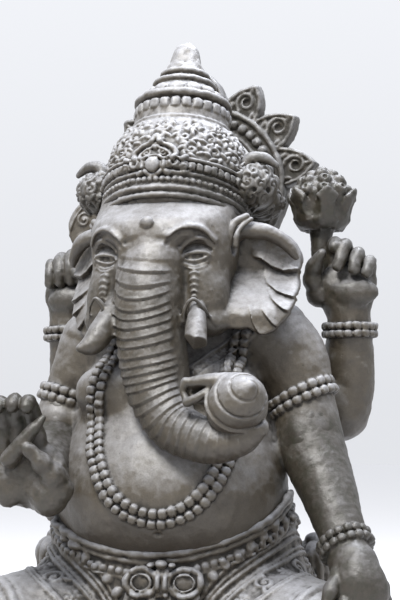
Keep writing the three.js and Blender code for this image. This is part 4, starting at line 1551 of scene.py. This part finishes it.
@dataclass
class Crown:
    """The crown in its own frame: a beaded band, a dome of scrolls, and tiers up to a broken finial."""

    band_radius: float = 143.0
    profile: tuple = (
        (0, -40), (128, -40), (136, -30), (144, -10), (143, 12), (145, 40), (146, 52), (141, 84), (131, 122),
        (113, 152), (99, 170), (96, 192), (88, 208), (93, 226), (77, 238), (70, 252), (62, 260), (58, 274),
        (46, 282), (46, 292), (41, 302), (35, 318), (30, 336), (23, 354), (14, 362), (0, 363),
    )

    def model(self) -> Clay:
        """Models the crown."""
        clay = Clay((-182, -182, -48), (182, 182, 372), 1.8)
        ring = curve_through([(r, z, 0) for r, z in self.profile[1:-1]], 4)[:, :2]
        clay.add(lathe([(0, -40), *[tuple(p) for p in ring], (0, 363)]), 0)
        self._band(clay)
        self._dome(clay)
        self._tiers(clay)
        return clay.weathered((20, 0.7, 12), (21, 0.35, 5))

    def _hoop(self, z: float, radius: float, roll: float) -> Form:
        """A plain raised hoop."""
        line, _ = ring_line(array(0, 0, z), UP, radius)
        return cord_line(line, roll)

    def _bead_hoop(self, z: float, radius: float, count: int, size: Station, power: float = 3.0) -> Form:
        """A hoop of beads."""
        line, _ = ring_line(array(0, 0, z), UP, radius)
        points, _ = spaced(line, count, closed=True)
        return beads(line, count, size, unit(points * array(1, 1, 0)), closed=True, power=power)

    def _band(self, clay: Clay) -> None:
        """Two fillets, a row of round beads, a ridge, a row of square beads and the top ridge."""
        radius = self.band_radius
        clay.add(union([
            self._hoop(-24, radius - 2, 5.5), self._hoop(-10, radius + 1, 5.5),
            self._hoop(20, radius + 2, 3.6),
            self._hoop(50, radius + 5, 5),
        ]), 2.5)
        clay.add(self._bead_hoop(6, radius + 2, 76, (5.6, 5.6, 6), 2.2), 1.2)
        clay.add(self._bead_hoop(35, radius + 4, 62, (7, 8.4, 6.5), 4), 1.2)

    def _patch(self, clay: Clay, degrees: float, z: float) -> Patch:
        """A patch of the dome that faces a way round, at a height. The front is at nought."""
        angle = math.radians(degrees - 90)
        out, foot = bearing(angle), array(0, 0, z)
        surface = clay.land((foot + 190 * out)[None, :], -out[None, :], 190)
        normal = unit(clay.normals(surface) * array(1, 1, 0.6))[0]
        across = array(-math.sin(angle), math.cos(angle), 0)
        return Patch(clay, surface[0], across, np.cross(normal, across), 30)

    def _medallion(self, patch: Patch, size: float) -> Form:
        """A round boss in a rim, under a pointed arch of leaves, with scrolls at its sides."""
        flat = np.array(((-38, -4), (-42, 14), (-28, 31), (-10, 40), (0, 56), (10, 40), (28, 31), (42, 14),
                         (38, -4)))
        frame = curve_through(np.hstack([flat * size, np.zeros((9, 1))]), 3)[:, :2]
        turn = np.linspace(0, TURN, 40)[:, None]
        rim = np.hstack([np.cos(turn), np.sin(turn)]) * 22 * size + array(0, -13 * size)
        forms = [patch.line(frame, 6.0, 2), patch.line(frame * 0.72 + array(0, -1), 3.4, 2),
                 patch.line(rim, 4.0, 3),
                 patch.leaf(0, -13 * size, 90, 34 * size, 29 * size, 8), patch.leaf(0, 27 * size, 90, 18, 11,
                         7)]
        for hand in (-1, 1):
            forms.append(patch.scroll(hand * 17 * size, 15 * size, 10 * size, 90, 1.2, hand, 3.6))
            forms.append(patch.scroll(hand * 42 * size, -10 * size, 12 * size, 60, 1.3, hand, 3.8))
            forms.append(patch.scroll(hand * 60 * size, -22 * size, 10 * size, 0, 1.3, -hand, 3.6))
            forms.append(patch.leaf(hand * 58 * size, 0, hand * 40, 24 * size, 12, 6))
            forms.append(patch.leaf(hand * 27 * size, -30 * size, -hand * 30, 20 * size, 11, 6))
        return union(forms)

    def _dome(self, clay: Clay) -> None:
        """The dome's relief: medallions at the quarters, and rows of scrolls with leaves between."""
        forms = []
        for z, count, size, first in ((80, 18, 17.5, 8), (112, 16, 17, 0), (141, 14, 14, 5)):
            for k in range(count):
                degrees = 360 * k / count + first
                patch = self._patch(clay, degrees, z)
                from_quarter = abs((degrees + 45) % 90 - 45)
                if z < 90 and from_quarter < 22:
                    continue
                hand = 1 if k % 2 else -1
                forms.append(patch.scroll(0, 0, size * 0.8, 90 + 47 * k, 0.95, hand, 5.0))
                for angle in (10, 52, 100, 145, 195, 240, 300):
                    turn = math.radians(angle + 31 * k)
                    u, v = size * 1.15 * math.cos(turn), size * 1.02 * math.sin(turn)
                    forms.append(patch.leaf(u, v, angle + 31 * k + 55 * hand, size * 1.1, size * 0.56, 5.6))
        clay.add(union(forms), 3.2)
        for k in range(4):
            clay.add(self._medallion(self._patch(clay, 90 * k, 48), 1.0 if k == 0 else 0.85), 1.8)

    def _tiers(self, clay: Clay) -> None:
        """The neck's hoops, the large beads, the petals, and the finial with its broken top."""
        clay.add(self._hoop(170, 98, 3.5), 2.5)
        clay.add(self._bead_hoop(200, 91, 27, (10.2, 11.5, 9), 3.6), 1.5)
        for z, radius, roll in ((224, 92, 8), (268, 60, 6.5), (290, 46, 6.5)):
            clay.add(self._hoop(z, radius, roll), 3)
        for out in around(13):
            axes = np.stack([np.cross(UP, out), unit(UP - 0.5 * out),
                             unit(out + 0.5 * UP)])
            clay.add(ball(out * 74 + array(0, 0, 244), (16, 12, 5), axes), 1.5)
        rng = np.random.default_rng(SEED + 22)
        for i in range(5):
            angle = TURN * i / 5 + rng.uniform(-0.3, 0.3)
            out = array(math.cos(angle), math.sin(angle), 0.12)
            centre = array(0, 0, 344) + out * rng.uniform(40, 45)
            side = np.cross(UP, unit(out))
            clay.cut(ball(centre, (16, 30, 40), np.stack([unit(out), unit(side), unit(np.cross(out, side))]),
                          4), 2)


@dataclass
class Arch:
    """The arch behind the crown in the head's frame: a beaded ring with leaf finials that fan out."""

    y: float = 222.0
    z: float = 1146.0
    outer: float = 176.0
    inner: float = 120.0
    thickness: float = 44.0
    leaf_turn: float = 26.0
    beads: int = 42

    def model(self) -> Clay:
        """Models the arch, the fill behind it and the side knots."""
        clay = Clay((-272, -78, 852), (272, 262, 1402), 2.1)
        levels = ((860, 120, 70, 110), (960, 128, 84, 136), (1060, 130, 76, 150), (1140, 112, 60, 156))
        clay.add(stack(levels), 0)
        clay.add(self._ring(), 5)
        for i in range(-3, 4):
            self._finial(clay, -i * self.leaf_turn)
        self._rows(clay)
        for side in (-1, 1):
            self._knot(clay, side)
        return clay.weathered((24, 0.7, 14), (25, 0.35, 5))

    def _ring(self) -> Form:
        """The plain ring."""
        middle, half = (self.outer + self.inner) / 2, (self.outer - self.inner) / 2
        depth = self.thickness / 2

        def distance(x: Array, y: Array, z: Array) -> Array:
            """The distance to a ring with rounded edges."""
            edge = np.abs(np.sqrt(x * x + (z - self.z) ** 2) - middle) - half
            return rounded(edge, np.abs(y - self.y) - depth, 4)

        low = array(-self.outer, self.y - depth, self.z - self.outer)
        return Form([Part(low, array(self.outer, self.y + depth, self.z + self.outer), distance)])

    def _rows(self, clay: Clay) -> None:
        """On both faces, the rims and between them the row of knobs."""
        middle = (self.outer + self.inner) / 2
        for face in (-1, 1):
            centre = array(0, self.y + face * self.thickness / 2, self.z)
            for radius, roll in ((self.outer - 6, 6.5), (self.inner + 6, 5.5)):
                line, _ = ring_line(centre, BACK, radius)
                clay.add(cord_line(line, roll), 2)
            line, _ = ring_line(centre, BACK, middle)
            normals = np.broadcast_to(array(0, face, 0), (self.beads, 3))
            clay.add(beads(line, self.beads, (9.5, 10, 8), normals, closed=True, power=2.6), 1.5)

    def _finial(self, clay: Clay, degrees: float) -> None:
        """A pointed leaf on the arch's rim, with a raised edge and a curl in its middle."""
        turn = math.radians(degrees)
        across = array(math.cos(turn), 0, math.sin(turn))
        up = array(-math.sin(turn), 0, math.cos(turn))
        foot = array(0, self.y, self.z)
        reach = self.outer
        side = [(-46, reach - 8), *pulled_curve((-46, reach - 8), (-38, reach + 42), (8, reach + 72)),
                *pulled_curve((8, reach + 72), (44, reach + 44), (42, reach - 8))]
        corners = [tuple(p) for p in side]
        half = self.thickness / 2 - 4
        clay.add(plate(Outline(corners), foot, across, up, half, 4), 3)
        flat = np.array(corners)
        inset = (flat - array(0, reach + 20)) * 0.86 + array(0, reach + 20)
        for face in (-1, 1):
            lift = array(0, face * half, 0)

            def place(plan: Array) -> Array:
                """Points of the leaf's plan on this face."""
                return foot + plan[:, :1] * across + plan[:, 1:2] * up + lift

            edge = curve_through(np.hstack([inset, np.zeros((len(inset), 1))]), 4)[:, :2]
            clay.add(cord_line(place(edge), 4.6), 2)
            share = np.linspace(0, 1, 44)
            sweep = math.radians(250) - share * TURN * 1.35
            radius = 21 * (1 - 0.76 * share)
            curl = np.stack([2 + radius * np.cos(sweep), reach + 26 + radius * 1.15 * np.sin(sweep)], axis=1)
            clay.add(cord_line(place(curl), 4.6 * (1 - 0.3 * share)), 2)
            clay.cut(ball(foot + 3 * across + (reach + 27) * up + lift * 1.12, (8, 8, 8)), 2)
            for u, v, angle in ((-24, 6, 100), (25, 2, 80), (4, 56, 85)):
                direction = math.cos(math.radians(angle)) * across + math.sin(math.radians(angle)) * up
                axes = np.stack([direction, BACK, np.cross(direction, BACK)])
                clay.add(ball(foot + u * across + (reach + v) * up + lift, (12, 4, 5), axes), 1.5)

    def _knot(self, clay: Clay, side: int) -> None:
        """The knot of curls and leaves above an ear, in front of the arch."""
        clay.add(ball((side * 164, 8, 1112), (44, 58, 44)), 8)
        clay.add(ball((side * 158, 84, 1092), (42, 78, 36)), 12)
        leaf = ((side * 146, -10, 1142, 12), (side * 160, -10, 1163, 13), (side * 186, -6, 1166, 11),
                (side * 210, 0, 1152, 6))
        clay.add(limb(leaf, 5), 4)
        patch = Patch(clay, array(side * 168, -28, 1106), array(0.86, side * 0.5, 0), UP, 70)
        forms = []
        for i, (u, v, size) in enumerate(((-28, 30, 13), (0, 30, 14), (28, 28, 14), (-14, 8, 14),
                                          (14, 4, 14), (40, 4, 13), (-32, -14, 13), (-4, -20, 14),
                                          (24, -22, 13), (6, -42, 12))):
            hand = side if i % 2 else -side
            forms.append(patch.scroll(side * u, v, size, 70 * i, 1.25, hand, 4.6))
            forms.append(patch.leaf(side * u + 12, v + 12, 40 + 50 * i, 22, 11, 6.5))
        clay.add(union(forms), 2)
        for u, v in ((-12, 20), (14, 16), (-30, 4), (0, -8), (16, -36), (-14, -32), (30, -8)):
            clay.cut(ball(patch.onto(array(side * u, v))[0], (5.5, 5.5, 5.5)), 1.5)
        inner = Patch(clay, array(side * 136, -34, 1108), array(0.8, -side * 0.6, 0), UP, 70)
        forms = [inner.scroll(side * u, v, 13, 80 * i, 1.25, side if i % 2 else -side, 4.6)
                 for i, (u, v) in enumerate(((-20, 24), (4, 28), (-24, 0), (0, 4), (-18, -24), (6, -22)))]
        forms += [inner.leaf(side * u, v, 60 * i, 20, 10, 6)
                  for i, (u, v) in enumerate(((-10, 12), (-12, -12), (-8, 34), (8, -8)))]
        clay.add(union(forms), 2)
        outer = Patch(clay, array(side * 190, 70, 1100), array(0, side * 1.0, 0), UP, 60)
        forms = [outer.scroll(u, v, 15, 60 * i, 1.3, side if i % 2 else -side, 4.2)
                 for i, (u, v) in enumerate(((-18, 30), (16, 24), (-2, -4), (32, -10), (-24, -34),
                                             (10, -40)))]
        clay.add(union(forms), 2)


@dataclass(frozen=True)
class CastCement:
    """Grey cement cast in a mould and left outdoors.

    Faces that look up and the higher parts are painted a cool pale grey as a painted sky reflection, and worn
    edges are lighter from wear; the undersides are painted a darker brown-grey as painted shade. Creases and
    hollows are darkened with grime and painted shade. Sand grains and pinholes from trapped air break up a
    slight polish from handling, and the pinholes are painted dark with grime and painted shade.
    Damp and a little moss darken the points that have the moss value.
    """

    # painted sky sheen on up-facing and high parts, also the lighter tone of worn edges
    sky_sheen_and_wear: str = "#85868a"
    body: str = "#4a443a"
    # painted shade on the undersides, also the tint of streak stains
    underside_shade_and_streak: str = "#2c251c"
    # grime and painted shade in creases, hollows and pinholes
    dirt_and_shade: str = "#100d0a"
    damp: str = "#241f18"
    moss: str = "#232318"
    speck_dark: str = "#4a4640"
    speck_light: str = "#c9c7c6"
    speck_mm: float = 3.2
    grain_mm: float = 3.52  # sand grains are about 1.6 mm, drawn coarser so that they show
    ragged_mm: float = 2.4
    trowel_mm: float = 12.0
    pinhole_mm: float = 13.0
    streak_mm: float = 14.0
    polish_mm: float = 24.0
    cluster_mm: float = 37.0
    blotch_mm: float = 70.0

    def build(self) -> bpy.types.Material:
        """Builds the cement's nodes."""
        material = bpy.data.materials.new("cast_cement")
        material.use_nodes = True
        tree = material.node_tree
        tree.nodes.clear()
        add = partial(node, tree)
        place = add("TexCoord").outputs["Object"]
        upward = add("SeparateXYZ", {"Vector": add("NewGeometry").outputs["Normal"]}).outputs["Z"]
        level = add("SeparateXYZ", {"Vector": place}).outputs["Z"]
        hollow, worn, moss = (
            add("Attribute", attribute_name=shade.value).outputs["Fac"] for shade in Shade
        )
        blotch, streak, ragged, cluster, speck, polish, trowel, grain = (
            add("TexNoise", {"Vector": place, "Scale": 1 / (size * MM), "Detail": detail, "Roughness": rough})
            for size, detail, rough in (
                (self.blotch_mm, 6, 0.6), (self.streak_mm, 5, 0.6), (self.ragged_mm, 2, 0.6),
                (self.cluster_mm, 3, 0.6), (self.speck_mm, 2, 0.6), (self.polish_mm, 4, 0.6),
                (self.trowel_mm, 4, 0.6), (self.grain_mm, 3, 0.7),
            )
        )
        # painted sky sheen: it grows as a face looks up and with the height; real wear lightens edges,
        # blotches break it up, and where it is low the undersides keep the painted shade
        high = add("MapRange", {"Value": level, "From Min": 0.8, "From Max": 1.2})
        light = add("Math", {0: blotch, 1: 0.5}, operation="MULTIPLY")
        for source, weight in ((upward, 0.62), (worn, 0.32), (high, 0.2)):
            light = add("Math", {0: source, 1: weight, 2: light}, operation="MULTIPLY_ADD")
        # streaks are real stains; the hollow value adds painted shade in creases
        stain_and_hollow = add("Math", {0: streak, 1: 0.5, 2: hollow}, operation="MULTIPLY_ADD")
        dirt_and_shade = add("MapRange", {"Value": stain_and_hollow, "From Min": 0.37, "From Max": 0.97})
        tufts = add("MapRange", {"Value": streak, "From Min": 0.42, "From Max": 0.62})
        patches = add("Math", {0: moss, 1: tufts}, operation="MULTIPLY")
        # pinholes: painted dark, grime and painted shade inside them, and sunk a little by the bump
        holes = add("TexVoronoi", {"Vector": place, "Scale": 1 / (self.pinhole_mm * MM)})
        rim = add("Math", {0: ragged, 1: 0.16, 2: holes}, operation="MULTIPLY_ADD")
        hole = add("MapRange", {"Value": rim, "From Min": 0.2, "From Max": 0.12})
        rare = add("MapRange", {"Value": cluster, "From Min": 0.56, "From Max": 0.6})
        pit = add("Math", {0: hole, 1: rare}, operation="MULTIPLY")
        # start from the painted underside shade; the lit mask brings in the body colour, then the painted sky
        # sheen
        colour = linear(self.underside_shade_and_streak)
        for value, low, top, most, tint in (
            (light, -0.15, 0.42, 1.0, self.body), (light, 0.34, 0.92, 1.0, self.sky_sheen_and_wear),
            (streak, 0.42, 0.72, 0.35, self.underside_shade_and_streak), (dirt_and_shade, 0.0, 1.0, 0.85, self.dirt_and_shade),
            (moss, 0.0, 1.0, 0.94, self.damp), (patches, 0.0, 1.0, 0.8, self.moss),
            (pit, 0.0, 1.0, 0.6, self.dirt_and_shade),
        ):
            share = add("MapRange", {"Value": value, "From Min": low, "From Max": top, "To Max": most})
            colour = add("Mix", {"Factor": share, "A": colour, "B": linear(tint)}, data_type="RGBA")
        share = add("MapRange", {"Value": speck, "From Min": 0.3, "From Max": 0.7})
        sand = add("Mix", {"Factor": share, "A": linear(self.speck_dark), "B": linear(self.speck_light)},
                   data_type="RGBA")
        colour = add("Mix", {"Factor": 0.22, "A": colour, "B": sand}, data_type="RGBA",
                     blend_type="SOFT_LIGHT")
        rough = add("Math", {0: polish, 1: 0.26, 2: 0.34}, operation="MULTIPLY_ADD")
        rough = add("Math", {0: dirt_and_shade, 1: 0.35, 2: rough}, operation="MULTIPLY_ADD")
        relief = add("Math", {0: trowel, 1: 0.9}, operation="MULTIPLY")
        for source, weight in ((grain, 0.55), (pit, -1.1)):
            relief = add("Math", {0: source, 1: weight, 2: relief}, operation="MULTIPLY_ADD")
        bump = add("Bump", {"Height": relief, "Strength": 0.55, "Distance": 0.0016})
        shader = add("BsdfPrincipled", {"Base Color": colour, "Roughness": rough, "Normal": bump, "IOR": 1.5,
                                        "Metallic": 0.0})
        add("OutputMaterial", {"Surface": shader})
        return material


def linear(colour: str) -> tuple[float, float, float, float]:
    """An sRGB hex colour as linear values."""
    parts = [int(colour[i : i + 2], 16) / 255 for i in (1, 3, 5)]
    return (*[p / 12.92 if p <= 0.04045 else ((p + 0.055) / 1.055) ** 2.4 for p in parts], 1.0)


def node(
    tree: bpy.types.NodeTree, kind: str, inputs: dict | None = None, **settings: object
) -> bpy.types.ShaderNode:
    """Adds a node with its settings and links.

    Args:
        tree: The tree that it joins.
        kind: The node's type, without the word ShaderNode before it.
        inputs: Socket names or numbers, each with a value, a socket or a node (its first output).
        **settings: The node's own properties.

    Returns:
        The node.
    """
    made = tree.nodes.new(f"ShaderNode{kind}")
    for name, value in settings.items():
        setattr(made, name, value)
    for name, value in (inputs or {}).items():
        named = [socket for socket in made.inputs if socket.enabled and socket.name == name]
        target = named[0] if named else made.inputs[name]
        if isinstance(value, bpy.types.Node):
            value = next(socket for socket in value.outputs if socket.enabled)
        if isinstance(value, bpy.types.NodeSocket):
            tree.links.new(value, target)
        else:
            target.default_value = value
    return made


def add_object(name: str, data: bpy.types.ID) -> bpy.types.Object:
    """Puts a mesh, camera or lamp in the scene."""
    made = bpy.data.objects.new(name, data)
    bpy.context.scene.collection.objects.link(made)
    return made


def aim(thing: bpy.types.Object, at: Station, to: Station) -> None:
    """Stands a camera or lamp at one place and points it at another."""
    thing.location = at
    thing.rotation_euler = (Vector(to) - Vector(at)).to_track_quat("-Z", "Y").to_euler()


@dataclass
class Studio:
    """The photograph's camera, a plain pale floor and soft light from above."""

    camera_at: tuple = (0.51683, -2.55816, 0.69226)
    camera_to: tuple = (0.04924, 0.09368, 0.890)
    lens_mm: float = 81.0
    lamps_to: tuple = (0, 0, 0.9)
    sky: str = "#f3f5fa"
    floor: str = "#dcdcdd"
    floor_half: float = 12.0

    def build(self) -> None:
        """Places everything that isn't part of the object."""
        scene = bpy.context.scene
        camera = add_object("camera", bpy.data.cameras.new("camera"))
        camera.data.lens = self.lens_mm
        camera.data.sensor_width = 36.0
        camera.data.clip_end = 50
        aim(camera, self.camera_at, self.camera_to)
        scene.camera = camera
        world = bpy.data.worlds.new("studio")
        world.use_nodes = True
        tree = world.node_tree
        view = node(tree, "TexCoord").outputs["Generated"]
        height = node(tree, "SeparateXYZ", {"Vector": view}).outputs["Z"]
        strength = node(tree, "MapRange", {"Value": height, "To Min": 0.86, "To Max": 1.3})
        background = tree.nodes["Background"]
        background.inputs["Color"].default_value = linear(self.sky)
        tree.links.new(strength.outputs["Result"], background.inputs["Strength"])
        scene.world = world
        scene.view_settings.view_transform = "Standard"
        self._floor()
        self._lamp("key", (-0.6, -1.8, 3.4), 1.1, 190, "#fffdf9")
        self._lamp("top", (0.6, 0.5, 3.4), 1.6, 130, "#f4f7ff")

    def _floor(self) -> None:
        """The plain pale floor."""
        half = self.floor_half
        mesh = bpy.data.meshes.new("floor")
        mesh.from_pydata([(-half, -half, 0), (half, -half, 0), (half, half, 0), (-half, half, 0)], [],
                         [(0, 1, 2, 3)])
        floor = add_object("floor", mesh)
        material = bpy.data.materials.new("pale_floor")
        material.use_nodes = True
        shader = material.node_tree.nodes["Principled BSDF"]
        shader.inputs["Base Color"].default_value = linear(self.floor)
        shader.inputs["Roughness"].default_value = 0.9
        mesh.materials.append(material)

    def _lamp(self, name: str, at: Station, size: float, watts: float, colour: str) -> None:
        """One soft square lamp."""
        lamp = add_object(name, bpy.data.lights.new(name, "AREA"))
        lamp.data.shape = "SQUARE"
        lamp.data.size = size
        lamp.data.energy = watts
        lamp.data.color = linear(colour)[:3]
        aim(lamp, at, self.lamps_to)


def hand_moss(points: Array) -> Array:
    """Damp darkens the raised hand, and moss gathers on its fingers."""
    return 0.45 + 0.5 * grown(points[:, 2], 590, 650)


def face_stain(points: Array) -> Array:
    """Damp darkens the cheeks and the trunk, but not the forehead or the ears."""
    return 0.3 * grown(points[:, 2], 975, 905) * grown(np.abs(points[:, 0]), 160, 140)


def hand_damp(points: Array) -> Array:
    """Damp darkens a back hand above its bangle."""
    return 0.6 * grown(points[:, 2], 858, 882)


def arm_stain(points: Array) -> Array:
    """Damp darkens the left forearm."""
    return grown(points[:, 0], 208, 234) * grown(points[:, 2], 690, 630)


def band_stain(points: Array) -> Array:
    """Damp darkens the crown's band on the left side."""
    return 0.6 * grown(points[:, 0], 10, 100) * grown(points[:, 2], 100, 40)


def stain(depth: float) -> PointRule:
    """An even stain.

    Args:
        depth: How dark it is, from 0 to 1.

    Returns:
        What gives the stain at each point.
    """

    def even(points: Array) -> Array:
        """The same stain everywhere."""
        return np.full(len(points), depth)

    return even


def band_sag(points: Array) -> Array:
    """The crown's band rises over the forehead and dips towards the ears and the back."""
    low = grown(points[:, 2], 126, 36) ** 1.4
    rise = low * np.clip(-points[:, 1] / 9.5, -12, 15)
    return points + np.stack([0 * rise, 0 * rise, rise], axis=1)


def main() -> None:
    """Builds the studio and the statue's pieces in order."""
    logging.basicConfig(level=logging.INFO, format="%(name)s: %(message)s")
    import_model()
    Studio().build()
    casting = Casting(CastCement().build())
    head = Matrix.Rotation(HEAD_TURN, 4, "Z")
    crown = head @ Matrix.Translation(CROWN_FOOT) @ Matrix.Rotation(-CROWN_LEAN, 4, "X")
    body = casting.cast("body", Body().model(), 150_000, moss=arm_stain)
    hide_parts("statue")
    casting.cast("seat", Seat().model(), 180_000)
    casting.cast("left_hand", LeftHand().model(), 45_000, moss=stain(0.75))
    casting.cast("right_hand", RightHand().model(), 55_000, moss=hand_moss)
    casting.cast("left_back_arm", BackArm(Side.LEFT, 332, 116, STEM_GRIP, (22, 908)).model(),
                 48_000, moss=hand_damp)
    casting.cast("right_back_arm", BackArm(Side.RIGHT, 258, 176, SHAFT_GRIP, (0, 904)).model(),
                 45_000, moss=hand_damp)
    casting.cast("lotus", Lotus().model(), 40_000, moss=stain(0.75))
    casting.cast("axe", Axe().model(), 20_000)
    casting.cast("face", Face().model(), 150_000, head, moss=face_stain)
    casting.cast("crown", Crown().model(), 150_000, crown, moss=band_stain, bend=band_sag)
    casting.cast("arch", Arch().model(), 100_000, head, moss=stain(0.4))


if __name__ == "__main__":
    main()
